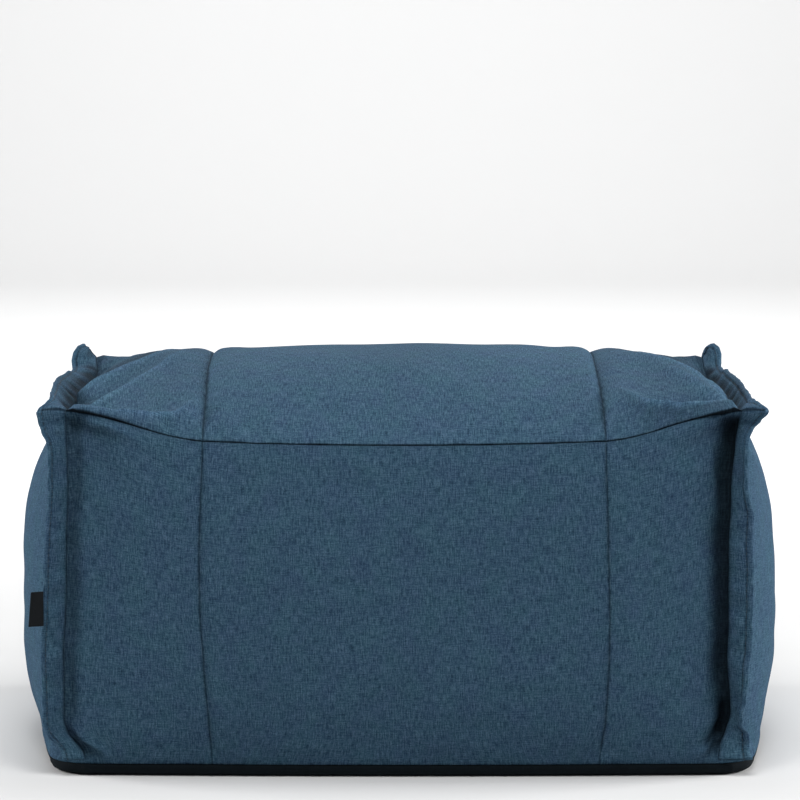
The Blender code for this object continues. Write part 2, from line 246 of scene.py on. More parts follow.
def mesh_from(bm: bmesh.types.BMesh, name: str) -> Mesh:
    """Turns a bmesh into a named mesh and frees it.

    Args:
        bm: what to turn. It can't be used again.
        name: the mesh's name.

    Returns:
        The mesh.
    """
    mesh = bpy.data.meshes.new(name)
    bm.to_mesh(mesh)
    bm.free()
    return mesh


def woven_faces(
    bm: bmesh.types.BMesh, rings: Iterable, spot: Callable[[int, int], tuple[float, float]], closed: bool
) -> list[list[bmesh.types.BMVert]]:
    """Lays faces over rows of points, with the weave map on them.

    Args:
        bm: where the faces go.
        rings: rows of points, all as long.
        spot: gives the place on the weave for a row and a column.
        closed: True where each row runs round and meets its start.

    Returns:
        The vertices, row by row.
    """
    made = [[bm.verts.new(point) for point in ring] for ring in rings]
    layer = bm.loops.layers.uv.new(WEAVE_MAP)
    around = len(made[0])
    for i in range(len(made) - 1):
        for j in range(around if closed else around - 1):
            k = (j + 1) % around
            face = bm.faces.new((made[i][j], made[i][k], made[i + 1][k], made[i + 1][j]))
            for loop, (row, column) in zip(face.loops, ((i, j), (i, j + 1), (i + 1, j + 1), (i + 1, j))):
                loop[layer].uv = spot(row, column)
    return made


def wire_up(tree: NodeTree, wires: tuple) -> None:
    """Joins nodes.

    Args:
        tree: the tree that they are in.
        wires: for each, the node that gives, its output, the node that takes and its input.
    """
    for giver, output, taker, taken in wires:
        tree.links.new(giver.outputs[output], taker.inputs[taken])


def run_lengths(points: Array) -> Array:
    """How far along a run each of its points is."""
    return np.concatenate([[0.0], np.cumsum(np.linalg.norm(np.diff(points, axis=0), axis=1))])


def points_along(numbers: Array, known: Array, points: Array) -> Array:
    """The points of a run at given numbers, read between its own points at their known numbers."""
    return np.stack([np.interp(numbers, known, points[:, i]) for i in range(3)], axis=1)


# How a fold is drawn: samples for each point of its run, and how many of them are averaged
RUN_SAMPLES = 30
RUN_WINDOW = 23
# The painted highlight along its crest: how much flatter it is on the top, its least half width, and the
# crest's share of it
CREST_FLATTENING = 2.6
CREST_LINE = 0.0024
CREST_SHARE = 0.8
# Painted highlight on a crest and painted shade in a hollow for each metre of rise, and the most of either
CREST_HIGHLIGHT = 40.0
HOLLOW_SHADE = 26.0
PALEST_HIGHLIGHT, DARKEST_SHADE = -0.42, 0.55
# The painted shadow behind a crest: how soon it starts, and how far it runs past the ends
LEE_START = 0.010
LEE_PAST_ENDS = 0.022


@dataclass(frozen=True)
class Fold:
    """A soft ridge, or a hollow, that runs over one panel, with a painted highlight on a crest, painted shade
    in a hollow and a painted shadow behind a crest.

    Args:
        panel: the panel that it lies on.
        run: its points: two places on the panel and the rise there, below zero for a hollow.
        half_width: how far its sides reach.
        crest: the radius of its crest. A small one shows as a line.
        lee: how strong the painted shadow behind the crest is. Below zero, the painted shadow falls in front
            of it.
        lee_reach: how far that goes from the crest.
    """

    panel: Panel
    run: tuple
    half_width: float
    crest: float
    lee: float = 0.0
    lee_reach: float = 0.12

    def shape(self, a: Array, b: Array) -> tuple[Array, Array]:
        """What the fold does at places of its panel.

        Args:
            a: places across the panel.
            b: places along it.

        Returns:
            How far it lifts each place, and its painted shade (above zero) or painted highlight (below zero)
            there.
        """
        drawn = self.drawn_run()
        run_a, run_b, heights = drawn
        gaps = np.hypot(a[:, None] - run_a[None, :], b[:, None] - run_b[None, :])
        nearest = gaps.argmin(axis=1)
        away = gaps[np.arange(len(a)), nearest]
        height = heights[nearest]
        blunt = np.hypot(away, self.crest) - self.crest
        reach = np.maximum(0.0, 1.0 - blunt / self.half_width) ** 2
        # Painted highlight along a crest, painted shade in a hollow
        flatter = CREST_FLATTENING if self.panel is Panel.TOP else 1.0
        off_line = np.hypot(a - run_a[nearest], (b - run_b[nearest]) / flatter)
        line = bell(off_line, CREST_LINE + CREST_SHARE * self.crest)
        tone = np.where(height > 0.0, -CREST_HIGHLIGHT * line * height, -HOLLOW_SHADE * reach * height)
        tone = np.clip(tone, PALEST_HIGHLIGHT, DARKEST_SHADE)
        if self.lee == 0.0:
            return height * reach, tone
        # On the shadowed side of the crest, a painted shadow takes the place of the painted highlight
        past, shadow = self.lee_shadow(a, b, drawn)
        return height * reach, tone * (1.0 - past) + shadow

    def lee_shadow(self, a: Array, b: Array, drawn: list[Array]) -> tuple[Array, Array]:
        """The painted shadow behind the crest.

        Args:
            a: places across the panel.
            b: places along it.
            drawn: the run as a smooth curve, column by column.

        Returns:
            A step from 0 before the crest to 1 behind it, and the painted shadow at each place.
        """
        order = np.argsort(drawn[0])
        crest_b, crest_height = (np.interp(a, drawn[0][order], drawn[i][order]) for i in (1, 2))
        behind = (b - crest_b) * math.copysign(1.0, self.lee)
        past = smooth(behind / LEE_START)
        most = max(abs(point[2]) for point in self.run)
        outside = np.maximum(0.0, np.maximum(drawn[0].min() - a, a - drawn[0].max()))
        fading = bell(outside, LEE_PAST_ENDS) * bell(behind, self.lee_reach)
        return past, abs(self.lee) * past * fading * np.abs(crest_height) / most

    def drawn_run(self) -> list[Array]:
        """The run's three columns, each drawn as a smooth curve.

        Returns:
            Three arrays: the place across, the place along and the rise.
        """
        stops = np.linspace(0.0, 1.0, len(self.run))
        fine = np.linspace(0.0, 1.0, RUN_SAMPLES * len(self.run))
        window = np.ones(RUN_WINDOW) / RUN_WINDOW
        columns = []
        for values in np.array(self.run, dtype=float).T:
            drawn = np.interp(fine, stops, values)
            padded = np.pad(drawn, RUN_WINDOW // 2, mode="edge")
            columns.append(np.convolve(padded, window, mode="valid"))
        return columns


TOP_FOLDS = (
    # Crease from the left front ear back over the side panel
    Fold(Panel.TOP, half_width=0.026, crest=0.0012, lee=0.16, lee_reach=0.06, run=(
        (-0.322, -0.241, 0.0050), (-0.298, -0.221, 0.0080), (-0.277, -0.178, 0.0090),
        (-0.254, -0.116, 0.0085), (-0.235, -0.055, 0.0065), (-0.220, 0.010, 0.0010),
    )),
    # Ridge from the left end to the panel seam
    Fold(Panel.TOP, half_width=0.046, crest=0.0042, lee=0.62, lee_reach=0.28, run=(
        (-0.322, -0.050, 0.0095), (-0.305, -0.062, 0.0095), (-0.283, -0.058, 0.0095),
        (-0.256, -0.035, 0.0095), (-0.236, 0.010, 0.0060),
    )),
    # Soft rise behind that ridge
    Fold(Panel.TOP, half_width=0.080, crest=0.0300, run=(
        (-0.320, 0.020, 0.0020), (-0.300, 0.030, 0.0045), (-0.275, 0.040, 0.0055), (-0.250, 0.060, 0.0050),
        (-0.235, 0.090, 0.0030),
    )),
    # Hollow between the left crease and the ridge
    Fold(Panel.TOP, half_width=0.030, crest=0.0060, run=(
        (-0.319, -0.180, -0.0100), (-0.300, -0.135, -0.0070), (-0.280, -0.100, -0.0025),
    )),
    # Crease beside the front seam at the left
    Fold(Panel.TOP, half_width=0.018, crest=0.0012, lee=-0.16, lee_reach=0.02, run=(
        (-0.310, -0.244, 0.0040), (-0.275, -0.240, 0.0070), (-0.243, -0.234, 0.0080),
        (-0.218, -0.222, 0.0070), (-0.203, -0.180, 0.0010),
    )),
    # Long ridge from the right front ear to the panel seam
    Fold(Panel.TOP, half_width=0.050, crest=0.0058, lee=0.80, lee_reach=0.42, run=(
        (0.322, -0.232, 0.0080), (0.319, -0.196, 0.0130), (0.299, -0.125, 0.0160), (0.280, -0.072, 0.0155),
        (0.256, -0.030, 0.0120), (0.228, 0.010, 0.0040),
    )),
    # Small crease on its front slope
    Fold(Panel.TOP, half_width=0.014, crest=0.0010, lee=0.10, lee_reach=0.03, run=(
        (0.305, -0.200, 0.0030), (0.288, -0.150, 0.0060), (0.270, -0.100, 0.0055), (0.255, -0.060, 0.0),
    )),
    # Hollow behind it
    Fold(Panel.TOP, half_width=0.075, crest=0.0200, run=(
        (0.321, -0.060, -0.0040), (0.312, -0.010, -0.0040), (0.290, 0.035, -0.0010),
        (0.262, 0.070, 0.0010), (0.240, 0.100, 0.0),
    )),
    # Crease beside the front seam at the right
    Fold(Panel.TOP, half_width=0.024, crest=0.0010, lee=-0.30, lee_reach=0.05, run=(
        (0.208, -0.150, 0.0), (0.223, -0.188, 0.0080), (0.238, -0.214, 0.0120), (0.268, -0.230, 0.0120),
        (0.300, -0.227, 0.0100), (0.322, -0.222, 0.0060),
    )),
    # Hollow behind that crease
    Fold(Panel.TOP, half_width=0.024, crest=0.0050, run=(
        (0.250, -0.190, -0.0030), (0.280, -0.196, -0.0060), (0.306, -0.202, -0.0060),
    )),
    # Fullness right of the middle
    Fold(Panel.TOP, half_width=0.130, crest=0.0600, run=(
        (0.080, 0.0, 0.0030), (0.130, 0.0, 0.0045), (0.165, 0.0, 0.0030),
    )),
    # Fullness of the right side panel
    Fold(Panel.TOP, half_width=0.100, crest=0.0600, run=(
        (0.205, 0.110, 0.0020), (0.232, 0.110, 0.0030), (0.255, 0.100, 0.0020),
    )),
    # Fullness left of the middle
    Fold(Panel.TOP, half_width=0.130, crest=0.0600, run=(
        (-0.170, 0.0, 0.0020), (-0.130, 0.0, 0.0030), (-0.080, 0.0, 0.0015),
    )),
    # Raised corner at the left back
    Fold(Panel.TOP, half_width=0.062, crest=0.0160, run=(
        (-0.312, 0.222, 0.0050), (-0.280, 0.216, 0.0075), (-0.240, 0.200, 0.0060), (-0.205, 0.180, 0.0010),
    )),
    # Raised corner at the right back
    Fold(Panel.TOP, half_width=0.062, crest=0.0160, run=(
        (0.312, 0.222, 0.0050), (0.280, 0.216, 0.0070), (0.240, 0.200, 0.0050), (0.205, 0.180, 0.0005),
    )),
)

WALL_FOLDS = (
    # Hollow under the left front ear
    Fold(Panel.FRONT, half_width=0.022, crest=0.0050, run=(
        (-0.321, 0.349, -0.0080), (-0.313, 0.344, -0.0095), (-0.302, 0.341, -0.0080),
        (-0.284, 0.341, -0.0045), (-0.262, 0.340, 0.0),
    )),
    # Its lower echo
    Fold(Panel.FRONT, half_width=0.032, crest=0.0080, run=(
        (-0.310, 0.322, -0.0040), (-0.285, 0.318, -0.0030), (-0.262, 0.320, 0.0),
    )),
    # Tuck along the top seam
    Fold(Panel.FRONT, half_width=0.010, crest=0.0012, run=(
        (-0.305, 0.3515, 0.0030), (-0.275, 0.3500, 0.0040), (-0.250, 0.3440, 0.0),
    )),
    # Small fold at the left foot
    Fold(Panel.FRONT, half_width=0.012, crest=0.0014, lee=-0.20, run=(
        (-0.3190, 0.056, 0.0030), (-0.3110, 0.038, 0.0050), (-0.3020, 0.027, 0.0040),
        (-0.2920, 0.021, 0.0),
    )),
    # Long hollow beside the right flange
    Fold(Panel.FRONT, half_width=0.034, crest=0.0080, run=(
        (0.320, 0.353, -0.0040), (0.314, 0.325, -0.0050), (0.312, 0.260, -0.0040), (0.312, 0.190, -0.0040),
        (0.312, 0.120, -0.0040), (0.317, 0.070, -0.0040),
    )),
    # Hollow under the right front ear
    Fold(Panel.FRONT, half_width=0.026, crest=0.0070, run=(
        (0.306, 0.342, -0.0050), (0.284, 0.334, -0.0040), (0.255, 0.322, 0.0),
    )),
    # Pinch at the right foot
    Fold(Panel.FRONT, half_width=0.012, crest=0.0016, run=(
        (0.3205, 0.066, -0.0090), (0.3185, 0.047, -0.0110), (0.3120, 0.035, -0.0060), (0.3040, 0.027, 0.0),
    )),
    # Small fold below it
    Fold(Panel.FRONT, half_width=0.010, crest=0.0012, lee=-0.20, run=(
        (0.3185, 0.038, 0.0040), (0.3090, 0.029, 0.0060), (0.2970, 0.023, 0.0),
    )),
    # Hollow beside the left back flange
    Fold(Panel.BACK, half_width=0.022, crest=0.0060, run=(
        (-0.318, 0.345, -0.0060), (-0.312, 0.250, -0.0070), (-0.312, 0.150, -0.0060), (-0.316, 0.070, 0.0),
    )),
    # Hollow beside the right back flange
    Fold(Panel.BACK, half_width=0.022, crest=0.0060, run=(
        (0.318, 0.345, -0.0060), (0.312, 0.240, -0.0070), (0.312, 0.130, -0.0060), (0.316, 0.070, 0.0),
    )),
    # Hollow under the left back ear
    Fold(Panel.BACK, half_width=0.026, crest=0.0070, run=(
        (-0.306, 0.338, -0.0080), (-0.275, 0.338, -0.0050), (-0.245, 0.340, 0.0),
    )),
    # Hollow under the right back ear
    Fold(Panel.BACK, half_width=0.026, crest=0.0070, run=(
        (0.306, 0.338, -0.0080), (0.275, 0.338, -0.0050), (0.245, 0.340, 0.0),
    )),
)

END_FOLDS = (
    # Left end, from the front ear
    Fold(Panel.LEFT_END, half_width=0.030, crest=0.0040, run=(
        (-0.215, 0.338, 0.0), (-0.170, 0.320, 0.0035), (-0.110, 0.290, 0.0),
    )),
    # Left end, from the back ear
    Fold(Panel.LEFT_END, half_width=0.030, crest=0.0040, run=(
        (0.215, 0.338, 0.0), (0.165, 0.318, 0.0035), (0.120, 0.285, 0.0),
    )),
    # Left end, at the front foot
    Fold(Panel.LEFT_END, half_width=0.026, crest=0.0040, run=(
        (-0.225, 0.050, 0.0), (-0.180, 0.062, 0.0030), (-0.120, 0.065, 0.0),
    )),
    # Right end, from the front ear
    Fold(Panel.RIGHT_END, half_width=0.030, crest=0.0040, run=(
        (-0.215, 0.338, 0.0), (-0.168, 0.315, 0.0035), (-0.115, 0.285, 0.0),
    )),
    # Right end, from the back ear
    Fold(Panel.RIGHT_END, half_width=0.030, crest=0.0040, run=(
        (0.215, 0.338, 0.0), (0.172, 0.322, 0.0035), (0.118, 0.292, 0.0),
    )),
    # Right end, at the back foot
    Fold(Panel.RIGHT_END, half_width=0.026, crest=0.0040, run=(
        (0.225, 0.050, 0.0), (0.180, 0.064, 0.0030), (0.125, 0.064, 0.0),
    )),
)

# Side (-1 left), end (-1 front), depth and width of the valley along each upright end seam; the depth also
# sets its painted shade
VALLEYS = (
    (-1.0, -1.0, 0.0070, 0.0085), (1.0, -1.0, 0.0160, 0.0115), (-1.0, 1.0, 0.0080, 0.0100),
    (1.0, 1.0, 0.0090, 0.0110),
)
# Side, depth and width of the valley along each end seam of the top; the depth also sets its painted shade
TOP_VALLEYS = ((-1.0, 0.0050, 0.0110), (1.0, 0.0080, 0.0130))

# Height, then how far from the middle each front corner's seam stands at that height
LEFT_FRONT_ROOT = (
    (0.000, 0.3130), (0.028, 0.3135), (0.040, 0.3265), (0.054, 0.3312), (0.114, 0.3318), (0.193, 0.3288),
    (0.2925, 0.3266), (0.344, 0.3268), (0.360, 0.3268),
)
RIGHT_FRONT_ROOT = (
    (0.000, 0.3110), (0.030, 0.3120), (0.042, 0.3175), (0.060, 0.3225), (0.114, 0.3203), (0.152, 0.3210),
    (0.230, 0.3208), (0.275, 0.3224), (0.330, 0.3256), (0.347, 0.3282), (0.360, 0.3298),
)
LEFT_BACK_ROOT = (
    (0.000, 0.3150), (0.030, 0.3140), (0.055, 0.3230), (0.114, 0.3240), (0.200, 0.3220), (0.300, 0.3260),
    (0.360, 0.3320),
)
RIGHT_BACK_ROOT = (
    (0.000, 0.3150), (0.030, 0.3140), (0.055, 0.3230), (0.114, 0.3240), (0.200, 0.3220), (0.300, 0.3230),
    (0.360, 0.3262),
)
# Height, then how far each front panel seam stands from the middle
LEFT_PANEL_SEAM = (
    (0.000, 0.1852), (0.060, 0.1885), (0.110, 0.1925), (0.170, 0.1962), (0.215, 0.1965), (0.340, 0.1930),
)
RIGHT_PANEL_SEAM = (
    (0.000, 0.1925), (0.060, 0.1985), (0.110, 0.2010), (0.155, 0.2015), (0.220, 0.2000), (0.340, 0.1972),
)


@dataclass(frozen=True)
class FilledShape:
    """The filled body's driving sizes, and where each place of an uncut box goes on it.

    A place is p across, q deep and r up, on the faces of a box with the body's seams for edges.
    """

    half_width: float = 0.3270
    half_depth: float = 0.250
    corner_height: float = 0.360
    crown_height: float = 0.3945
    edge_sag: float = 0.028
    middle_sag: float = 0.004
    end_sag: float = 0.013
    end_bulge: float = 0.060
    front_bulge: float = 0.017
    edge_bow: float = 0.011
    end_seam_bow: float = 0.006
    panel_seam: float = 0.196
    panel_fall: float = 0.008
    base_half_width: float = 0.350
    base_half_depth: float = 0.251
    base_corner: float = 0.045
    base_bow: float = 0.007
    base_end_bow: float = 0.018
    lip: float = 0.0136
    blend: float = 0.060
    corner_blend: float = 0.026
    land: float = 0.005
    stitched: float = 0.0008
    root: float = 0.0018
    right_end_bulge: float = 0.053
    sag_start: float = 0.190
    sag_run: float = 0.135
    crown_sides: float = 2.3
    crown_fullness: float = 0.78
    end_fall: float = 2.4
    end_start: float = 0.300
    swell_middle: float = 0.42
    corner_ease: float = 0.075
    panel_ease: float = 0.090
    corner_slide: float = 0.038
    slide_reach: float = 0.110
    foot: tuple = ((0.0023, 0.0150), (0.0050, 0.0075), (0.0128, 0.0045), (0.0136, 0.0008))

    def x_lines(self) -> list[float]:
        """Cuts across, closer at the sewn seams and over the folded corners.

        Returns:
            The cuts, from the left end to the right.
        """
        seam, end = self.panel_seam, self.half_width
        return mirrored(grid_lines((
            (0.0, 1.0), (seam - 0.013, 0.0125), (seam - 0.004, 0.0045), (seam - self.stitched, 0.0032),
            (seam, 0.001), (seam + self.stitched, 0.001), (seam + 0.004, 0.0032), (seam + 0.013, 0.0045),
            (end - 0.023, 0.0056), (end - self.land, 0.0036), (end, 0.010),
        )))

    def y_lines(self) -> list[float]:
        """Cuts in depth, closer at the long seams.

        Returns:
            The cuts, from front to back.
        """
        edge = self.half_depth
        return mirrored(grid_lines((
            (0.0, 1.0), (0.110, 0.0115), (edge - 0.022, 0.0085), (edge - 0.0045, 0.0045),
            (edge - self.stitched, 0.0036), (edge, 0.001),
        )))

    def z_lines(self) -> list[float]:
        """Cuts in height, closer at the foot and under the top seams.

        Returns:
            The cuts, from the foot to the top seams.
        """
        top = self.corner_height
        return [level for level, _ in self.foot] + grid_lines((
            (self.lip, 1.0), (self.lip + 0.012, 0.004), (self.lip + 0.060, 0.0075), (top - 0.060, 0.0110),
            (top - 0.020, 0.0075), (top - 0.0045, 0.0045), (top - self.stitched, 0.0036), (top, 0.001),
        ))[1:]

    def rounded(self, p: float, q: float) -> tuple[float, float]:
        """A place on the edge of the base's plain rectangle, moved onto its rounded corner.

        The corner seams meet the base on its long sides, so places near a corner slide that way first.

        Args:
            p: the place across.
            q: the place in depth.

        Returns:
            Its x and y on the base outline.
        """
        p, q = self.slid(p, q)
        sx, sy = math.copysign(1.0, p), math.copysign(1.0, q)
        to_x, to_y = self.half_width - abs(p), self.half_depth - abs(q)
        span = self.base_corner
        along_x, along_y = self.base_half_width - span, self.base_half_depth - span
        if to_x < span and to_y < NEAR:
            angle = math.radians(45.0) * (1.0 - to_x / span)
            return sx * (along_x + span * math.sin(angle)), sy * (along_y + span * math.cos(angle))
        if to_y < span and to_x < NEAR:
            angle = math.radians(45.0) * (1.0 - to_y / span)
            return sx * (along_x + span * math.cos(angle)), sy * (along_y + span * math.sin(angle))
        if to_y < NEAR:
            share = p / (self.half_width - span)
            return along_x * share, sy * (self.base_half_depth + self.base_bow * (1.0 - share * share))
        share = q / (self.half_depth - span)
        return sx * (self.base_half_width + self.base_end_bow * (1.0 - share * share)), along_y * share

    def slid(self, p: float, q: float) -> tuple[float, float]:
        """A perimeter place moved round from the end towards the long side.

        Args:
            p: the place across.
            q: the place in depth.

        Returns:
            The place after the move.
        """
        sx, sy = math.copysign(1.0, p), math.copysign(1.0, q)
        to_x, to_y = self.half_width - abs(p), self.half_depth - abs(q)
        run = to_y if to_x < NEAR else -to_x
        run -= self.corner_slide * float(hill(run / self.slide_reach))
        if run < 0.0:
            return sx * (self.half_width + run), sy * self.half_depth
        return sx * self.half_width, sy * (self.half_depth - run)

    def perimeter(self) -> list[tuple[float, float]]:
        """Grid places once round the box, seen from above, anticlockwise.

        Returns:
            Each place, as p and q.
        """
        xs, ys = self.x_lines(), self.y_lines()
        places = [(p, -self.half_depth) for p in xs[:-1]]
        places += [(self.half_width, q) for q in ys[:-1]]
        places += [(p, self.half_depth) for p in reversed(xs[1:])]
        places += [(-self.half_width, q) for q in reversed(ys[1:])]
        return places

    def outline(self) -> tuple[Array, Array, Array]:
        """The perimeter places, their points on the base outline, and the directions out of it.

        Returns:
            Three arrays, row by row round the outline.
        """
        places = self.perimeter()
        points = np.array([self.rounded(p, q) for p, q in places])
        along = np.roll(points, -1, axis=0) - np.roll(points, 1, axis=0)
        return np.array(places), points, unit(np.stack([along[:, 1], -along[:, 0]], axis=1))

    def long_seam_height(self, x: Array) -> Array:
        """Height of the front and back top seams, which sag between the raised corners.

        Args:
            x: how far across.

        Returns:
            The seam's height there.
        """
        sag = 1.0 - smooth((np.abs(x) - self.sag_start) / self.sag_run)
        middle = np.maximum(0.0, 1.0 - (x / self.panel_seam) ** 2)
        return self.corner_height - self.edge_sag * sag - self.middle_sag * middle

    def end_seam_height(self, y: Array) -> Array:
        """Height of the end top seams between the corners."""
        return self.corner_height - self.end_sag * (1.0 - np.abs(y / self.half_depth) ** 3)

    def top_height(self, x: Array, y: Array) -> Array:
        """Height of the crowned top over a place.

        Args:
            x: how far across.
            y: how far back.

        Returns:
            The top's height there.
        """
        fall = self.panel_fall * np.minimum(1.0, (x / self.panel_seam) ** 2)
        out = np.maximum(0.0, (np.abs(x) - self.panel_seam) / (self.half_width - self.panel_seam))
        end = self.crown_height - self.panel_fall - self.end_seam_height(0.0)
        crown = self.crown_height - fall - end * out**self.end_fall
        rise = np.maximum(0.0, 1.0 - np.abs(y / self.half_depth) ** self.crown_sides) ** self.crown_fullness
        edge = self.long_seam_height(x)
        height = edge + (crown - edge) * rise
        near_end = smooth((np.abs(x) - self.end_start) / (self.half_width - self.end_start))
        return height + (self.end_seam_height(y) - height) * near_end

    def swell_up(self, t: Array) -> Array:
        """Bulge of an end from its foot (0) to its top seam (1): full and low.

        Args:
            t: the share of the height.

        Returns:
            The share of the full bulge.
        """
        middle = self.swell_middle
        upper = 1.0 - np.maximum(0.0, (t - middle) / (1.0 - middle)) ** 3
        return upper - 0.55 * np.maximum(0.0, (middle - t) / middle) ** 5

    def wall_points(self, places: Array) -> Array:
        """Places on the walls, top seams included, before they blend into the base.

        Args:
            places: the box places.

        Returns:
            Rows of x, y and z.
        """
        p, q, r = places.T
        on_long = np.abs(q) > self.half_depth - NEAR
        on_end = (np.abs(p) > self.half_width - NEAR) & ~on_long
        t = (r - self.lip) / (self.corner_height - self.lip)
        share_x, share_y = p / self.half_width, q / self.half_depth
        edge = np.where(on_long, self.long_seam_height(p), self.end_seam_height(q))
        most = np.where(p > 0.0, self.right_end_bulge, self.end_bulge)
        bulge = most * self.swell_up(t) * (1.0 - np.abs(share_y) ** 2.4)
        front = self.edge_bow + self.front_bulge * (1.0 - np.abs((t - 0.5) / 0.5) ** 2.4)
        x = np.where(on_end, np.sign(p) * (self.half_width + bulge), p)
        y = np.where(on_long, np.sign(q) * (self.half_depth + front * (1.0 - share_x**4)), q)
        return np.stack([x, y, self.lip + t * (edge - self.lip)], axis=1)

    def seam_shift(self, places: Array, height: Array) -> Array:
        """How far the sewn seams wander across, as measured at their heights.

        Args:
            places: the box places.
            height: each place's height on the body.

        Returns:
            The move across for each place, easing away from the seams.
        """
        p, q, r = places.T
        shift = np.zeros(len(p))
        corners = (
            (-1.0, -1.0, LEFT_FRONT_ROOT), (1.0, -1.0, RIGHT_FRONT_ROOT),
            (-1.0, 1.0, LEFT_BACK_ROOT), (1.0, 1.0, RIGHT_BACK_ROOT),
        )
        for side, end, table in corners:
            here = (side * p > 0.0) & (end * q > 0.0)
            from_seam = self.half_width - np.abs(p) + self.half_depth - np.abs(q)
            above = np.maximum(0.0, r - self.corner_height + 1e-9)
            near = smooth(1.0 - from_seam / self.corner_ease) * smooth(1.0 - above / 0.02)
            move = eased_row(table, np.clip(height, 0.0, self.corner_height), 1) - self.half_width
            shift += np.where(here, side * move * near, 0.0)
        for side, table in ((-1.0, LEFT_PANEL_SEAM), (1.0, RIGHT_PANEL_SEAM)):
            near = smooth(1.0 - np.abs(p - side * self.panel_seam) / self.panel_ease)
            move = eased_row(table, np.clip(height, 0.0, 0.340), 1) - self.panel_seam
            on_front = smooth((-q - 0.05) / 0.15)
            shift += side * move * near * on_front
        bow = self.end_seam_bow * (1.0 - (q / self.half_depth) ** 2)
        near_top = smooth((np.abs(p) - 0.2) / 0.12) * smooth((r - 0.2) / 0.16)
        return shift + np.sign(p) * bow * near_top

    def foot_shift(self, places: Array) -> Array:
        """The move across that brings each panel seam to its measured place on the base.

        Args:
            places: the box places.

        Returns:
            The move of each place, zero away from the long sides.
        """
        shift = np.zeros(len(places))
        for side, table in ((-1.0, LEFT_PANEL_SEAM), (1.0, RIGHT_PANEL_SEAM)):
            near = smooth(1.0 - np.abs(places[:, 0] - side * self.panel_seam) / self.corner_ease)
            stretched = (self.base_half_width - self.base_corner) / (self.half_width - self.base_corner)
            shift += side * near * (table[0][1] - self.panel_seam * stretched)
        return np.where(np.abs(places[:, 1]) > self.half_depth - NEAR, shift, 0.0)

    def land_shift(self, places: Array) -> Array:
        """Opens the end seams into a narrow land, square to the flange that stands on it.

        Args:
            places: the box places.

        Returns:
            The move of each place in x, y and z.
        """
        p, q, r = places.T
        on_end = np.abs(p) > self.half_width - NEAR
        beside = ~on_end & (np.abs(p) > self.half_width - self.land - NEAR)
        on_long = np.abs(q) > self.half_depth - NEAR
        on_top = r > self.corner_height - NEAR
        moved = (on_long | on_top) & (on_end | beside)
        away = np.where(on_end, -self.root, self.root)
        x = np.sign(p) * (self.half_width - away) - p
        y = np.where(on_long, np.sign(q) * away, 0.0)
        z = np.where(on_top, away, 0.0)
        return np.stack([x, y, z], axis=1) * moved[:, None]

    def body_points(self, places: Array) -> Array:
        """Where places of the uncut box go on the filled body.

        Args:
            places: the box places.

        Returns:
            Rows of x, y and z.
        """
        p, q, r = places.T
        on_wall = (np.abs(p) > self.half_width - NEAR) | (np.abs(q) > self.half_depth - NEAR)
        on_top = ~on_wall & (r > self.corner_height - NEAR)
        upper = self.wall_points(places)
        bow = self.edge_bow * (1.0 - (p / self.half_width) ** 4)
        over = np.stack([p, q * (self.half_depth + bow) / self.half_depth, self.top_height(p, q)], axis=1)
        made = np.where(on_top[:, None], over, upper) + self.land_shift(places)
        made[:, 0] += self.seam_shift(places, made[:, 2])
        rim, points, outward = self.outline()
        wall = np.flatnonzero(on_wall)
        gaps = np.abs(p[wall, None] - rim[None, :, 0]) + np.abs(q[wall, None] - rim[None, :, 1])
        nearest = gaps.argmin(axis=1)
        is_foot = r[wall] < self.lip + NEAR
        levels = np.array(self.foot)
        drawn_in = np.where(is_foot, np.interp(r[wall], levels[:, 0], levels[:, 1]), 0.0)
        flat = points[nearest] - outward[nearest] * drawn_in[:, None]
        flat[:, 0] += self.foot_shift(places[wall])
        low = np.column_stack([flat, np.where(is_foot, r[wall], made[wall, 2])])
        from_corner = self.half_width - np.abs(p[wall]) + self.half_depth - np.abs(q[wall])
        reach = self.corner_blend + (self.blend - self.corner_blend) * smooth(from_corner / 0.09)
        above = np.clip((r[wall] - self.lip) / reach, 0.0, 1.0)
        share = np.where(is_foot, 0.0, above * (2.0 - above))[:, None]
        made[wall] = low + (made[wall] - low) * share
        under = ~on_wall & ~on_top
        inset = self.foot[0][1]
        made[under, 0] = p[under] / self.half_width * (self.base_half_width - inset)
        made[under, 1] = q[under] / self.half_depth * (self.base_half_depth - inset)
        made[under, 2] = r[under]
        return made


# How the cloth behaves while the cover is blown up
CLOTH_SETTINGS = {
    "quality": 5,
    "mass": 0.3,
    "tension_stiffness": 18.0,
    "compression_stiffness": 18.0,
    "shear_stiffness": 8.0,
    "bending_stiffness": 0.6,
    "air_damping": 2.0,
    "use_pressure": True,
}
# Reach and height of the waves of soft filling, how many of each, and what their sum is shared by
FILLING_WAVES = ((0.16, 0.0010), (0.085, 0.0006), (0.045, 0.0003))
WAVES_EACH = 5
WAVES_SHARED = 2.2
# Where the ends and the outer top panels lie on the weave, clear of the others
END_SHIFT = (2.0, 0.0)
TOP_SHIFT = (0.0, 3.0)
SIDE_SHIFT = 0.37


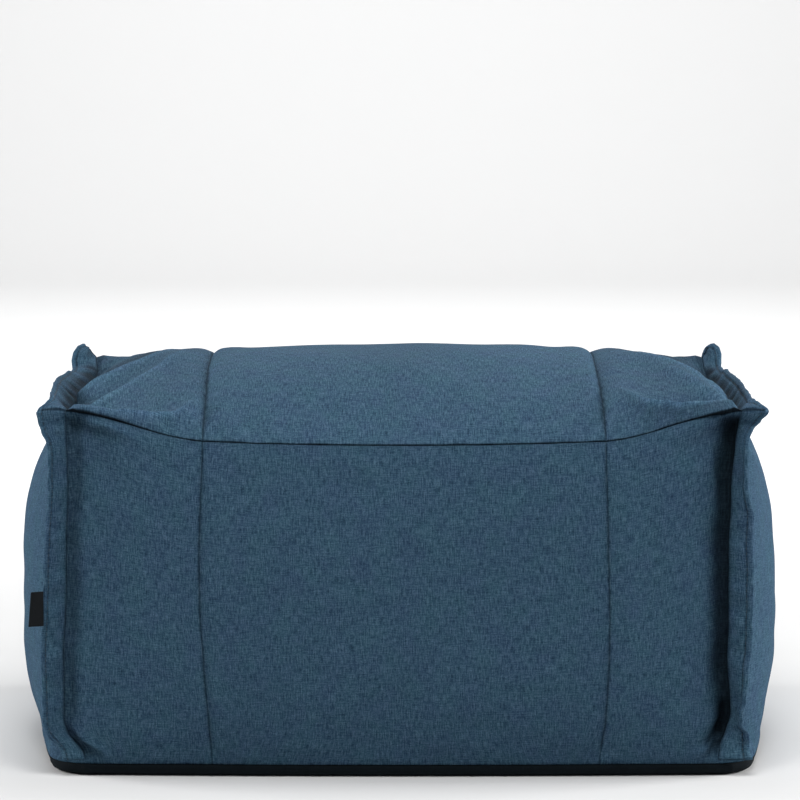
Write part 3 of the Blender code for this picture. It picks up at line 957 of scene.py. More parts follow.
@dataclass
class FilledCover:
    """The filled cover: a sewn body of panels around soft filling."""

    shape: FilledShape
    deflate: float = 0.0050
    pressure: float = 4.0
    frames: int = 18
    most_swell: float = 0.0055
    channel_depth: float = 0.0015
    channel_width: float = 0.0006
    pillow_width: float = 0.014
    top_pillow: float = 0.0032
    wall_pillow: float = 0.0009
    roll: float = 0.0020
    slack: float = -0.012
    # The next four set the painted shade along the seam channels: its reach, its faint halo, and its strength
    # on the panel and long seams
    seam_reach: float = 0.0005
    seam_halo: float = 0.0024
    panel_seam_shade: float = 0.56
    long_seam_shade: float = 0.95
    roll_at: float = 0.0040
    roll_reach: float = 0.0036
    valley_foot: float = 0.024
    valley_top: float = 0.012
    valley_round: float = 0.022
    # Painted shade in the valleys beside the upright flanges, for each metre of depth
    valley_shade: float = 50.0
    top_valley_ends: float = 0.075
    top_valley_round: float = 0.026
    # Painted shade in the valleys along the top of the flanges, for each metre of depth
    top_valley_shade: float = 38.0
    # The most painted shade in a valley, then the palest painted highlight and the darkest painted shade on
    # the cover
    darkest_valley: float = 0.80
    palest: float = -0.25
    darkest: float = 0.92

    def build(self) -> Object:
        """Makes the cover, blown up between its seams and folded.

        Returns:
            The finished object, without a material.
        """
        mesh, places = self.box_mesh()
        start = self.shape.body_points(places)
        move_points(mesh, start)
        inset = self.deflate * self.free_cloth(places)
        move_points(mesh, start - mesh_normals(mesh) * inset[:, None])
        obj = new_object("filled_cover", mesh)
        self.swell(obj, places)
        self.subdivide(obj)
        self.dress(obj.data)
        self.drop_underside(obj.data)
        self.map_weave(obj.data)
        obj.data.shade_smooth()
        return obj

    def box_mesh(self) -> tuple[Mesh, Array]:
        """A box cut along the grid lines, with each point's place kept as an attribute.

        Returns:
            The mesh, and the place of each of its points.
        """
        xs, ys, zs = self.shape.x_lines(), self.shape.y_lines(), self.shape.z_lines()
        bm = bmesh.new()
        made = {}

        def point(i: int, j: int, k: int) -> bmesh.types.BMVert:
            """The vertex at a grid crossing, made once.

            Args:
                i: which cut across.
                j: which cut in depth.
                k: which cut in height.

            Returns:
                The vertex.
            """
            if (i, j, k) not in made:
                made[i, j, k] = bm.verts.new((xs[i], ys[j], zs[k]))
            return made[i, j, k]

        last = (len(xs) - 1, len(ys) - 1, len(zs) - 1)
        for axis in range(3):
            first, second = [other for other in range(3) if other != axis]
            for level in (0, last[axis]):
                for u in range(last[first]):
                    for v in range(last[second]):
                        corners = []
                        for du, dv in ((0, 0), (1, 0), (1, 1), (0, 1)):
                            index = [0, 0, 0]
                            index[axis], index[first], index[second] = level, u + du, v + dv
                            corners.append(point(*index))
                        bm.faces.new(corners)
        bmesh.ops.recalc_face_normals(bm, faces=bm.faces)
        mesh = mesh_from(bm, "filled_cover")
        places = mesh_points(mesh)
        carried = mesh.attributes.new(PLACE, "FLOAT_VECTOR", "POINT")
        carried.data.foreach_set("vector", places.astype(np.float32).ravel())
        return mesh, places

    def seam_gaps(self, places: Array) -> Array:
        """How far each place is from the nearest sewn seam.

        Args:
            places: the box places.

        Returns:
            The distance for each place.
        """
        p, q, r = places.T
        shape = self.shape
        on_end = np.abs(p) > shape.half_width - NEAR
        on_top = r > shape.corner_height - NEAR
        to_panel = np.where(on_end, 1.0, np.abs(np.abs(p) - shape.panel_seam))
        to_end = np.where(on_end, 1.0, shape.half_width - np.abs(p))
        to_long = np.where(on_top, shape.half_depth - np.abs(q), 1.0)
        to_top = np.where(on_top, 1.0, shape.corner_height - r)
        corner = np.where(on_end, shape.half_depth - np.abs(q), 1.0)
        return np.minimum.reduce([to_panel, to_end, to_long, to_top, corner])

    def free_cloth(self, places: Array) -> Array:
        """1 where the cloth is free to swell, 0 at the seams and the foot."""
        foot = smooth((places[:, 2] - self.shape.lip - 0.004) / 0.05)
        return smooth(self.seam_gaps(places) / 0.040) * foot

    def swell(self, obj: Object, places: Array) -> None:
        """Blows the cover up with a cloth simulation held at its seams, then fixes the result.

        Args:
            obj: the cover.
            places: the box places.
        """
        start = mesh_points(obj.data)
        group = obj.vertex_groups.new(name=PINNED)
        gaps = self.seam_gaps(places)
        low = places[:, 2] < self.shape.lip + 0.004
        held = np.flatnonzero((gaps < 0.0012) | low)
        group.add(held.tolist(), 1.0, "REPLACE")
        cloth = obj.modifiers.new("swell", "CLOTH")
        settings = cloth.settings
        for name, value in CLOTH_SETTINGS.items():
            setattr(settings, name, value)
        settings.shrink_min = self.slack
        settings.uniform_pressure_force = self.pressure
        settings.vertex_group_mass = PINNED
        settings.effector_weights.gravity = 0.0
        cloth.collision_settings.use_collision = False
        cloth.point_cache.frame_start = 1
        cloth.point_cache.frame_end = self.frames
        scene = bpy.context.scene
        for number in range(1, self.frames + 1):
            scene.frame_set(number)
        swollen = plain_copy(obj)
        moved = mesh_points(swollen) - start
        obj.modifiers.remove(cloth)
        bpy.data.meshes.remove(swollen)
        obj.vertex_groups.clear()
        scene.frame_set(1)
        length = np.linalg.norm(moved, axis=1, keepdims=True)
        LOG.info("swell: middle %.1f mm, most %.1f mm", 1000.0 * np.median(length), 1000.0 * length.max())
        kept = self.most_swell * np.tanh(length / self.most_swell)
        move_points(obj.data, start + moved * kept / np.maximum(length, 1e-9))

    def subdivide(self, obj: Object) -> None:
        """One level of subdivision, applied.

        Args:
            obj: the cover.
        """
        finer = obj.modifiers.new("finer", "SUBSURF")
        finer.levels = 1
        finer.render_levels = 1
        settle_modifiers(obj)

    def channel(self, away: Array, depth: float, pillow: float) -> Array:
        """Draws the cloth in at a sewn seam, with the panel swelling away from it.

        Args:
            away: how far each place is from the seam.
            depth: how deep the seam draws it.
            pillow: how much lower the panel lies near the seam.

        Returns:
            How far each place is pushed, below zero for inwards.
        """
        sharp = depth * bell(away, self.channel_width)
        broad = pillow * bell(away, self.pillow_width)
        return -sharp - broad

    def painted_seam_line(self, away: Array) -> Array:
        """The painted shade along a seam's channel: 1 on the seam, 0 beside it."""
        return bell(away, self.seam_reach) + 0.10 * bell(away, self.seam_halo)

    def sides(self, places: Array) -> tuple[Array, Array]:
        """Which places of the finer cover are on the ends, and which on the top."""
        on_end = np.abs(places[:, 0]) > self.shape.half_width - 2.0 * ON_FACE
        return on_end, ~on_end & (places[:, 2] > self.shape.corner_height - ON_FACE)

    def dress(self, mesh: Mesh) -> None:
        """Presses in the seam channels, lifts the folds and adds the cloth's slow unevenness, then paints
        shade and highlights along the seams, folds and valleys.

        Args:
            mesh: the finer cover's mesh.
        """
        places = mesh_places(mesh)
        p, q, r = places.T
        shape = self.shape
        on_end, on_top = self.sides(places)
        on_long = ~on_end & ~on_top
        to_land = shape.half_width - shape.land - np.abs(p)
        near_end, folded = smooth(to_land / 0.010), smooth(to_land / 0.004)
        depth = self.channel_depth
        to_panel = np.abs(p) - shape.panel_seam
        to_long = np.where(on_top, shape.half_depth - np.abs(q), shape.corner_height - r)
        push = self.channel(to_panel, depth, 0.0) * on_top
        push += (self.channel(to_panel, 0.0, self.top_pillow) * smooth(to_long / 0.030)) * on_top
        push += self.channel(to_panel, depth * 0.8, self.wall_pillow) * on_long
        push += self.channel(to_long, depth, self.wall_pillow) * ~on_end
        push *= near_end
        # Painted shade along the panel seams and the long seams
        panel_line = self.panel_seam_shade * self.painted_seam_line(1.25 * to_panel)
        long_line = self.long_seam_shade * self.painted_seam_line(to_long / 1.8)
        shade = np.maximum(panel_line, long_line) * ~on_end
        for panel, chosen, a, b in (
            (Panel.TOP, on_top, p, q),
            (Panel.FRONT, on_long & (q < 0.0), p, r),
            (Panel.BACK, on_long & (q > 0.0), p, r),
            (Panel.LEFT_END, on_end & (p < 0.0), q, r),
            (Panel.RIGHT_END, on_end & (p > 0.0), q, r),
        ):
            index = np.flatnonzero(chosen)
            fade = 1.0 if panel in (Panel.LEFT_END, Panel.RIGHT_END) else folded[index]
            for fold in TOP_FOLDS + WALL_FOLDS + END_FOLDS:
                if fold.panel is panel:
                    # Each fold's painted highlight, painted shade and painted shadow
                    rise, tone = fold.shape(a[index], b[index])
                    push[index] += rise * fade
                    shade[index] += tone
        push += self.unevenness(places) * smooth(self.seam_gaps(places) / 0.05)
        push *= smooth((r - shape.lip) / 0.02)
        points = mesh_points(mesh)
        points += mesh_normals(mesh) * push[:, None]
        roll = bell(shape.half_depth - np.abs(q) - self.roll_at, self.roll_reach) * on_top * near_end
        points[:, 1] += np.sign(q) * self.roll * roll
        points[:, 2] -= 0.4 * self.roll * roll
        moves, hollow = self.recess(places)
        move_points(mesh, points + moves)
        # The painted shade and highlights, with the painted shade of the valleys, kept for the finish
        carry_painted_shade(mesh, np.clip(shade + hollow, self.palest, self.darkest))

    def recess(self, places: Array) -> tuple[Array, Array]:
        """Sinks the end seams below the panels beside them, so that the flanges stand in valleys, and paints
        shade in them.

        Args:
            places: the box places.

        Returns:
            The move of each place, and the painted shade of the valley there.
        """
        p, q, r = places.T
        shape = self.shape
        on_end, on_top = self.sides(places)
        moves, hollow = np.zeros((len(p), 3)), np.zeros(len(p))
        inward = np.maximum(0.0, shape.half_width - shape.land - np.abs(p))
        from_long, from_top = shape.half_depth - np.abs(q), shape.corner_height - r
        upright = smooth((r - shape.lip) / self.valley_foot) * smooth(from_top / self.valley_top)
        for side, end, depth, width in VALLEYS:
            here = (side * p > 0.0) & (end * q > 0.0) & ~on_top
            beside = bell(inward, width) * bell(np.where(on_end, from_long, 0.0), self.valley_round)
            moves[:, 1] -= end * depth * upright * beside * here
            # Painted shade in the valley, on the front and back panels only
            hollow += self.valley_shade * depth * upright * beside * here * ~on_end
        along = smooth(from_long / self.top_valley_ends)
        for side, depth, width in TOP_VALLEYS:
            here = (side * p > 0.0) & (on_top | on_end)
            beside = bell(inward, width) * bell(np.where(on_end, from_top, 0.0), self.top_valley_round)
            moves[:, 2] -= depth * along * beside * here
            # Painted shade in the valley, on the top only
            hollow += self.top_valley_shade * depth * along * beside * here * on_top
        return moves, np.minimum(hollow, self.darkest_valley)

    def unevenness(self, places: Array) -> Array:
        """Slow rise and fall of soft filling under the cloth.

        Args:
            places: the box places.

        Returns:
            The rise of each place.
        """
        draws = np.random.default_rng(SEED)
        rise = np.zeros(len(places))
        for reach, height in FILLING_WAVES:
            for _ in range(WAVES_EACH):
                direction = draws.normal(size=3)
                direction /= np.linalg.norm(direction)
                turn = draws.uniform(0.0, 2.0 * math.pi)
                rise += height * np.sin(places @ direction * 2.0 * math.pi / reach + turn) / WAVES_SHARED
        return rise

    def drop_underside(self, mesh: Mesh) -> None:
        """Makes the flat underside one face, since the base panel hides it.

        Args:
            mesh: the cover's mesh.
        """
        bm = bmesh.new()
        bm.from_mesh(mesh)
        floor = self.shape.foot[0][0]
        flat = [face for face in bm.faces if all(abs(v.co.z - floor) < 1e-4 for v in face.verts)]
        bmesh.ops.dissolve_faces(bm, faces=flat, use_verts=True)
        bm.to_mesh(mesh)
        bm.free()

    def map_weave(self, mesh: Mesh) -> None:
        """Lays each panel flat in metres, so that the weave follows its cut.

        Args:
            mesh: the cover's mesh.
        """
        corner = item_numbers(mesh.loops, "vertex_index")
        totals = item_numbers(mesh.polygons, "loop_total")
        owner = np.repeat(np.arange(len(totals)), totals)
        at = mesh_places(mesh)[corner]
        middle = np.zeros((len(totals), 3))
        np.add.at(middle, owner, at)
        middle = (middle / totals[:, None])[owner]
        on_end = (np.abs(middle[:, 0]) > self.shape.half_width - 0.0005)[:, None]
        on_top = (middle[:, 2] > self.shape.corner_height - 0.0005)[:, None]
        flat = np.where(on_end, at[:, [1, 2]] + END_SHIFT, at[:, [0, 2]])
        flat = np.where(on_top & ~on_end, at[:, [0, 1]] + TOP_SHIFT, flat)
        away = np.where(np.abs(middle[:, 0]) > self.shape.panel_seam, SIDE_SHIFT, 0.0)
        flat[:, 1] += np.where(on_end[:, 0], 0.0, away)
        layer = mesh.uv_layers.new(name=WEAVE_MAP)
        layer.data.foreach_set("uv", flat.astype(np.float32).ravel())


# How the seam is read at each top corner: how far to both sides, in how many steps, and the least step
CORNER_SPAN = 0.009
CORNER_STEPS = 25
LEAST_STEP = 2.5e-4


@dataclass
class SeamPath:
    """The end seam that a flange stands on: up the front corner, over the end and down the back corner."""

    places: Array
    inner: Array
    outer: Array

    @classmethod
    def along(cls, mesh: Mesh, shape: FilledShape, side: float, step: float) -> "SeamPath":
        """Reads the seam from the finished cover.

        Args:
            mesh: the cover's mesh, with its places.
            shape: the body's sizes.
            side: -1 for the left end, 1 for the right.
            step: how far apart the sections are.

        Returns:
            The seam's place numbers (0 front foot, 1 front corner, 2 back corner, 3 back foot) and lands.
        """
        places = mesh_places(mesh)
        points = mesh_points(mesh)
        low, high = shape.lip + 0.002, shape.corner_height
        rows = []
        for across in (shape.half_width - shape.land, shape.half_width):
            near = np.abs(places[:, 0] - side * across) < ON_FACE
            found = []
            for end in (-1.0, 1.0):
                up = near & (np.abs(places[:, 1] - end * shape.half_depth) < ON_FACE) & (places[:, 2] > low)
                share = (places[up, 2] - low) / (high - low)
                found.append((share if end < 0 else 3.0 - share, points[up]))
            top = near & (places[:, 2] > high - ON_FACE) & (np.abs(places[:, 1]) < shape.half_depth - ON_FACE)
            found.append((1.5 + 0.5 * places[top, 1] / shape.half_depth, points[top]))
            number = np.concatenate([part[0] for part in found])
            order = np.argsort(number)
            rows.append((number[order], np.concatenate([part[1] for part in found])[order]))
        coarse, outer = rows[1]
        inner = points_along(coarse, *rows[0])
        length = run_lengths(outer)
        corners = np.interp((1.0, 2.0), coarse, length)
        close = [corner + np.linspace(-CORNER_SPAN, CORNER_SPAN, CORNER_STEPS) for corner in corners]
        even = np.linspace(0.0, length[-1], int(length[-1] / step) + 1)
        fine = np.sort(np.concatenate([even, *close]))
        fine = fine[np.concatenate([[True], np.diff(fine) > LEAST_STEP])]
        number = np.interp(fine, length, coarse)
        return cls(number, points_along(fine, length, inner), points_along(fine, length, outer))


# Each row: place on the seam, how far the edge stands out, how far forward (upward along the top, backward
# down the back), how strong its ripple is and how much it curls
LEFT_EDGE = (
    (0.000, 0.0195, 0.0030, 0.00, 0.0), (0.030, 0.0195, 0.0050, 0.00, 0.0),
    (0.062, 0.0190, 0.0090, 0.10, 0.0), (0.110, 0.0188, 0.0110, 0.25, 0.1),
    (0.178, 0.0190, 0.0120, 0.35, 0.1), (0.325, 0.0200, 0.0125, 0.35, 0.1),
    (0.500, 0.0200, 0.0130, 0.30, 0.1), (0.800, 0.0172, 0.0140, 0.25, 0.1),
    (0.880, 0.0158, 0.0130, 0.10, 0.0), (0.910, 0.0168, 0.0110, 0.00, 0.0),
    (0.940, 0.0215, 0.0080, 0.00, 0.0), (0.970, 0.0250, 0.0050, 0.00, 0.0),
    (0.992, 0.0266, 0.0022, 0.00, 0.0), (1.004, 0.0255, 0.0018, 0.00, 0.0),
    (1.018, 0.0205, 0.0056, 0.00, 0.0), (1.038, 0.0162, 0.0105, 0.10, 0.1),
    (1.080, 0.0172, 0.0160, 0.10, 0.2), (1.200, 0.0205, 0.0190, 0.16, 0.3),
    (1.360, 0.0222, 0.0205, 0.18, 0.3), (1.500, 0.0232, 0.0185, 0.18, 0.3),
    (1.700, 0.0242, 0.0135, 0.16, 0.3), (1.860, 0.0246, 0.0050, 0.25, 0.1),
    (1.915, 0.0250, 0.0020, 0.10, 0.0), (1.938, 0.0256, 0.0064, 0.00, 0.0),
    (1.953, 0.0238, 0.0110, 0.00, 0.1), (1.968, 0.0198, 0.0142, 0.00, 0.3),
    (1.983, 0.0148, 0.0150, 0.00, 0.3), (1.998, 0.0098, 0.0112, 0.00, 0.2),
    (2.012, 0.0060, 0.0060, 0.00, 0.0), (2.035, 0.0048, 0.0060, 0.00, 0.0),
    (2.110, 0.0140, 0.0140, 0.20, 0.1), (2.500, 0.0185, 0.0140, 0.35, 0.1),
    (2.900, 0.0185, 0.0100, 0.20, 0.0), (3.000, 0.0195, 0.0040, 0.00, 0.0),
)
RIGHT_EDGE = (
    (0.000, 0.0320, 0.0030, 0.00, 0.0), (0.036, 0.0280, 0.0060, 0.00, 0.0),
    (0.075, 0.0215, 0.0130, 0.00, 0.1), (0.105, 0.0110, 0.0200, 0.00, 0.1),
    (0.135, 0.0090, 0.0220, 0.00, 0.1), (0.175, 0.0130, 0.0210, 0.20, 0.1),
    (0.240, 0.0170, 0.0190, 0.30, 0.1), (0.320, 0.0205, 0.0170, 0.30, 0.1),
    (0.520, 0.0215, 0.0170, 0.30, 0.1), (0.690, 0.0200, 0.0180, 0.30, 0.1),
    (0.800, 0.0125, 0.0220, 0.20, 0.1), (0.880, 0.0105, 0.0200, 0.10, 0.1),
    (0.922, 0.0100, 0.0150, 0.00, 0.0), (0.946, 0.0128, 0.0110, 0.00, 0.0),
    (0.969, 0.0188, 0.0070, 0.00, 0.0), (0.990, 0.0246, 0.0025, 0.00, 0.0),
    (1.004, 0.0250, 0.0010, 0.00, 0.0), (1.020, 0.0202, 0.0050, 0.00, 0.0),
    (1.045, 0.0176, 0.0094, 0.10, 0.1), (1.100, 0.0176, 0.0160, 0.10, 0.2),
    (1.200, 0.0172, 0.0208, 0.18, 0.3), (1.400, 0.0158, 0.0220, 0.20, 0.3),
    (1.700, 0.0146, 0.0186, 0.20, 0.3), (1.860, 0.0142, 0.0095, 0.25, 0.2),
    (1.915, 0.0156, 0.0040, 0.10, 0.0), (1.936, 0.0168, 0.0060, 0.00, 0.0),
    (1.950, 0.0178, 0.0110, 0.00, 0.1), (1.963, 0.0166, 0.0150, 0.00, 0.2),
    (1.977, 0.0126, 0.0166, 0.00, 0.3), (1.992, 0.0072, 0.0138, 0.00, 0.2),
    (2.006, 0.0030, 0.0090, 0.00, 0.1), (2.024, 0.0000, 0.0050, 0.00, 0.0),
    (2.060, 0.0044, 0.0110, 0.00, 0.0), (2.130, 0.0140, 0.0150, 0.20, 0.1),
    (2.500, 0.0185, 0.0140, 0.35, 0.1), (2.900, 0.0185, 0.0100, 0.20, 0.0),
    (3.000, 0.0195, 0.0040, 0.00, 0.0),
)


@dataclass
class EndFlange:
    """A strip of doubled cloth that stands on an end seam, with an ear at each top corner."""

    name: str
    side: float
    edge: tuple
    step: float = 0.0024
    half_thickness: float = 0.0021
    clearance: float = 0.0003
    ripple_depth: float = 0.0036
    groove_depth: float = 0.0017
    groove_at: float = 0.83
    # Painted shade in the groove of the edge seam
    groove_shade: float = 0.62
    even_reach: float = 0.0065
    crosswise: int = 19
    knee: float = 0.38
    curl: float = 0.006
    seam_press: float = 0.0009
    # Painted shade at the root, on the inner face along the top, in the puckers (painted highlight on their
    # crests), along the corner seams, in each ear's pocket and at its neck, then the palest painted highlight
    # and the darkest painted shade
    root_shade: float = 0.42
    inner_face_shade: float = 0.58
    pucker_shade: float = 0.20
    wave_shade: float = 0.24
    seam_shade: float = 0.85
    pocket_shade: float = 0.50
    neck_shade: float = 0.40
    palest: float = -0.3
    darkest: float = 0.9
    weave_start: float = 5.0
    weave_cell: float = 0.0016

    def build(self, cover: Mesh, shape: FilledShape) -> tuple[Object, Array]:
        """Lofts the flange from the cover's own seam.

        Args:
            cover: the finished cover's mesh.
            shape: the body's sizes.

        Returns:
            The object, and the run of points that its stitches follow.
        """
        path = SeamPath.along(cover, shape, self.side, self.step)
        shares = np.linspace(0.0, 1.0, self.crosswise)
        centre, across = self.centre_sheet(path, shares)
        half = self.half_thickness * self.fullness(shares)[None, :, None]
        notch = self.groove_depth * bell(shares - self.groove_at, 0.042)[None, :, None]
        ridge = self.corner_seam(path.places)[:, None, None] * smooth(shares * 3.0)[None, :, None]
        near = centre + across * (half - notch - self.seam_press * ridge)
        far = centre - across * (half - 0.3 * notch)
        tip = centre[:, -1:] + unit(centre[:, -1:] - centre[:, -2:-1]) * self.half_thickness * 0.75
        obj = self.loft(np.concatenate([near, tip, far[:, ::-1]], axis=1), path)
        # The painted shade and highlights, kept for the finish
        carry_painted_shade(obj.data, self.shades(path.places, shares).ravel())
        column = int(round(self.groove_at * (self.crosswise - 1)))
        return obj, (centre + across * (half - notch + 0.0001))[:, column]

    def shades(self, places: Array, shares: Array) -> Array:
        """The painted shade on the flange (above zero) and painted highlight (below zero), at each point of
        its rings.

        Args:
            places: each section's place number on the seam.
            shares: how far from root to edge each column is.

        Returns:
            A row for each section: the near face, the tip and the far face.
        """
        on_top = smooth((places - 1.02) / 0.06) * smooth((1.94 - places) / 0.06)
        # Painted shade at the root, and on the inner face along the top
        root = self.root_shade * (1.0 - smooth(shares / 0.20))[None, :]
        inner_face = self.inner_face_shade * (1.0 - smooth((shares - 0.35) / 0.45))[None, :]
        lower = np.maximum(root, inner_face * on_top[:, None])
        # Painted shade in the pucker valleys and painted highlight on their crests, the other way round on
        # the far face
        waves = self.ripple(places) / self.ripple_depth
        puckers = waves * eased_row(self.edge, places, 3)
        deep = self.pucker_shade * puckers + self.wave_shade * on_top * waves
        deep = deep[:, None] * np.sin(math.pi * shares)[None, :]
        # Painted shade in the groove of the edge seam, along the corner seams, in each ear's pocket and at
        # its neck
        groove = self.groove_shade * bell(shares - self.groove_at, 0.030)[None, :]
        groove = groove * (1.0 - bell(places - 0.99, 0.045))[:, None]
        sewn = np.minimum(1.0, self.corner_seam(places))[:, None] * smooth((0.93 - shares) / 0.05)[None, :]
        pocket = bell(places - 1.972, 0.022)[:, None] * hill((shares - 0.48) / 0.34)[None, :]
        neck = bell(places - 0.936, 0.0060)[:, None] * hill((shares - 0.45) / 0.32)[None, :]
        pocket, neck = self.pocket_shade * pocket, self.neck_shade * neck
        near = np.maximum(groove + lower, self.seam_shade * sewn) - deep + pocket + neck
        far = 0.6 * groove + lower + deep + pocket
        shade = np.concatenate([near, np.zeros((len(places), 1)), far[:, ::-1]], axis=1)
        return np.clip(shade, self.palest, self.darkest)

    def fullness(self, shares: Array) -> Array:
        """The flange's thickness from its root to its edge: pinched at the root, soft in the middle.

        Args:
            shares: how far from root to edge.

        Returns:
            The share of the half thickness there.
        """
        pinched = 0.55 + 0.35 * smooth(shares / 0.25)
        soft = 0.12 * np.sin(math.pi * np.clip((shares - 0.1) / 0.7, 0.0, 1.0))
        bead = 0.24 * smooth((shares - 0.78) / 0.08) * (1.0 - smooth((shares - 0.94) / 0.06))
        return pinched + soft + bead

    def corner_seam(self, places: Array) -> Array:
        """Deepest where the long top seam runs out over an ear, 0 away from it."""
        return bell(places - 0.999, 0.0030) + 1.5 * bell(places - 1.990, 0.0040)

    def centre_sheet(self, path: SeamPath, shares: Array) -> tuple[Array, Array]:
        """The middle surface of the flange, and the direction across it towards the cover's own panels.

        Args:
            path: the seam that it stands on.
            shares: how far from root to edge each column is.

        Returns:
            Two arrays, section by column by x, y and z.
        """
        places = path.places
        turn = smooth((places - 0.965) / 0.07) + smooth((places - 2.000) / 0.06)
        angle = turn * math.pi / 2.0
        zero = np.zeros(len(places))
        forward = np.stack([zero, -np.cos(angle), np.sin(angle)], axis=1)
        outward = np.tile([self.side, 0.0, 0.0], (len(places), 1))
        root = (path.inner + path.outer) / 2.0
        even = self.evened(root)
        out = eased_row(self.edge, places, 1)[:, None]
        ahead = eased_row(self.edge, places, 2)[:, None]
        reach = np.hypot(out, ahead)
        rooted = unit(outward + forward)
        begin = root + rooted * self.clearance
        knee = even + rooted * reach * self.knee
        edge = even + outward * out + forward * ahead
        s = shares[None, :, None]
        centre = (1 - s) ** 2 * begin[:, None] + 2 * s * (1 - s) * knee[:, None] + s**2 * edge[:, None]
        slope = 2 * (1 - s) * (knee - begin)[:, None] + 2 * s * (edge - knee)[:, None]
        along = unit(np.gradient(even, axis=0))
        across = unit(np.cross(slope, np.broadcast_to(along[:, None], slope.shape)))
        towards = (path.inner - path.outer)[:, None]
        flip = np.sign(np.sum(across * towards, axis=2, keepdims=True)[:, :3].mean(axis=1, keepdims=True))
        across = across * np.where(flip == 0.0, 1.0, flip)
        between = np.sin(math.pi * np.clip(s * 1.08, 0.0, 1.0)) + 0.22 * s
        ripple = self.ripple(places)[:, None, None] * between * eased_row(self.edge, places, 3)[:, None, None]
        curl = eased_row(self.edge, places, 4)[:, None, None] * smooth((s - 0.4) / 0.6) * self.curl
        width = unit(path.inner - path.outer)[:, None]
        blended = smooth(s * 3.0)
        across = unit(width * (1.0 - blended) + across * blended)
        return centre + across * (ripple + curl), across

    def evened(self, root: Array) -> Array:
        """The seam with its small kinks averaged out, which the edge follows.

        Args:
            root: points along the seam.

        Returns:
            As many points, with both ends as they were.
        """
        length = run_lengths(root)
        weights = bell(length[:, None] - length[None, :], self.even_reach) * np.gradient(length)
        mean = weights @ root / weights.sum(axis=1, keepdims=True)
        inside = smooth(np.minimum(length, length[-1] - length) / 0.020)[:, None]
        return root + (mean - root) * inside

    def ripple(self, places: Array) -> Array:
        """Uneven puckers along the flange, as wide cloth gathered on a shorter seam has.

        Args:
            places: place numbers on the seam.

        Returns:
            How far each section swings.
        """
        phase = 2.0 * math.pi * places
        turn = 0.8 * self.side
        wave = np.sin(phase * 8.3 + turn + 0.9 * np.sin(phase * 2.1))
        wave += 0.55 * np.sin(phase * 14.7 + 1.7 * turn + 0.7 * np.sin(phase * 3.3))
        wave += 0.08 * np.sin(phase * 27.0 + turn)
        return self.ripple_depth * wave / 1.4

    def loft(self, rings: Array, path: SeamPath) -> Object:
        """A closed skin over the rings, with its weave laid out along the strip.

        Args:
            rings: rings of points, section by section.
            path: the seam that it stands on.

        Returns:
            The object.
        """
        length = run_lengths(path.outer)
        bm = bmesh.new()
        start, cell = self.weave_start, self.weave_cell
        made = woven_faces(bm, rings, lambda row, column: (start + column * cell, length[row]), closed=True)
        bm.faces.new(made[0])
        bm.faces.new(made[-1])
        bmesh.ops.recalc_face_normals(bm, faces=bm.faces)
        mesh = mesh_from(bm, self.name)
        mesh.shade_smooth()
        return new_object(self.name, mesh)


@dataclass
class StitchRow:
    """A row of thread stitches along a run of points, placed by Geometry Nodes."""

    pitch: float = 0.0052
    length: float = 0.0034
    thread: float = 0.0009

    def sizes(self) -> tuple[tuple[str, float], ...]:
        """The tree's inputs and their values."""
        return ("Pitch", self.pitch), ("Stitch length", self.length), ("Thread width", self.thread)

    def tree(self, material: Material) -> NodeTree:
        """The node tree: a curve through the points, a stitch at each pitch, turned along the run.

        Args:
            material: the thread's finish.

        Returns:
            The tree.
        """
        tree = bpy.data.node_groups.new("stitch_row", "GeometryNodeTree")
        face = tree.interface
        face.new_socket("Run", in_out="INPUT", socket_type="NodeSocketGeometry")
        for label, value in self.sizes():
            socket = face.new_socket(label, in_out="INPUT", socket_type="NodeSocketFloat")
            socket.default_value = value
        face.new_socket("Stitches", in_out="OUTPUT", socket_type="NodeSocketGeometry")
        nodes = tree.nodes
        given, ended = nodes.new("NodeGroupInput"), nodes.new("NodeGroupOutput")
        curve = nodes.new("GeometryNodeMeshToCurve")
        spaced = nodes.new("GeometryNodeResampleCurve")
        spaced.mode = "LENGTH"
        stitch = nodes.new("GeometryNodeMeshUVSphere")
        stitch.inputs["Segments"].default_value = 6
        stitch.inputs["Rings"].default_value = 5
        stitch.inputs["Radius"].default_value = 0.5
        size = nodes.new("ShaderNodeCombineXYZ")
        tangent = nodes.new("GeometryNodeInputTangent")
        turned = nodes.new("FunctionNodeAlignRotationToVector")
        turned.axis = "Z"
        placed = nodes.new("GeometryNodeInstanceOnPoints")
        real = nodes.new("GeometryNodeRealizeInstances")
        dressed = nodes.new("GeometryNodeSetMaterial")
        dressed.inputs["Material"].default_value = material
        wire_up(tree, (
            (given, "Run", curve, "Mesh"),
            (curve, "Curve", spaced, "Curve"),
            (given, "Pitch", spaced, "Length"),
            (given, "Thread width", size, "X"),
            (given, "Thread width", size, "Y"),
            (given, "Stitch length", size, "Z"),
            (tangent, "Tangent", turned, "Vector"),
            (spaced, "Curve", placed, "Points"),
            (stitch, "Mesh", placed, "Instance"),
            (turned, "Rotation", placed, "Rotation"),
            (size, "Vector", placed, "Scale"),
            (placed, "Instances", real, "Geometry"),
            (real, "Geometry", dressed, "Geometry"),
            (dressed, "Geometry", ended, "Stitches"),
        ))
        return tree

    def build(self, name: str, run: Array, material: Material) -> Object:
        """Sews the stitches and keeps them as a plain mesh.

        Args:
            name: the piece's name.
            run: the points that they follow.
            material: the thread's finish.

        Returns:
            The finished object.
        """
        mesh = bpy.data.meshes.new(name)
        mesh.from_pydata([tuple(point) for point in run], [(i, i + 1) for i in range(len(run) - 1)], [])
        obj = new_object(name, mesh)
        modifier = obj.modifiers.new("stitches", "NODES")
        tree = self.tree(material)
        modifier.node_group = tree
        values = dict(self.sizes())
        for item in tree.interface.items_tree:
            if item.name in values:
                modifier[item.identifier] = values[item.name]
        settle_modifiers(obj)
        obj.data.shade_smooth()
        return obj


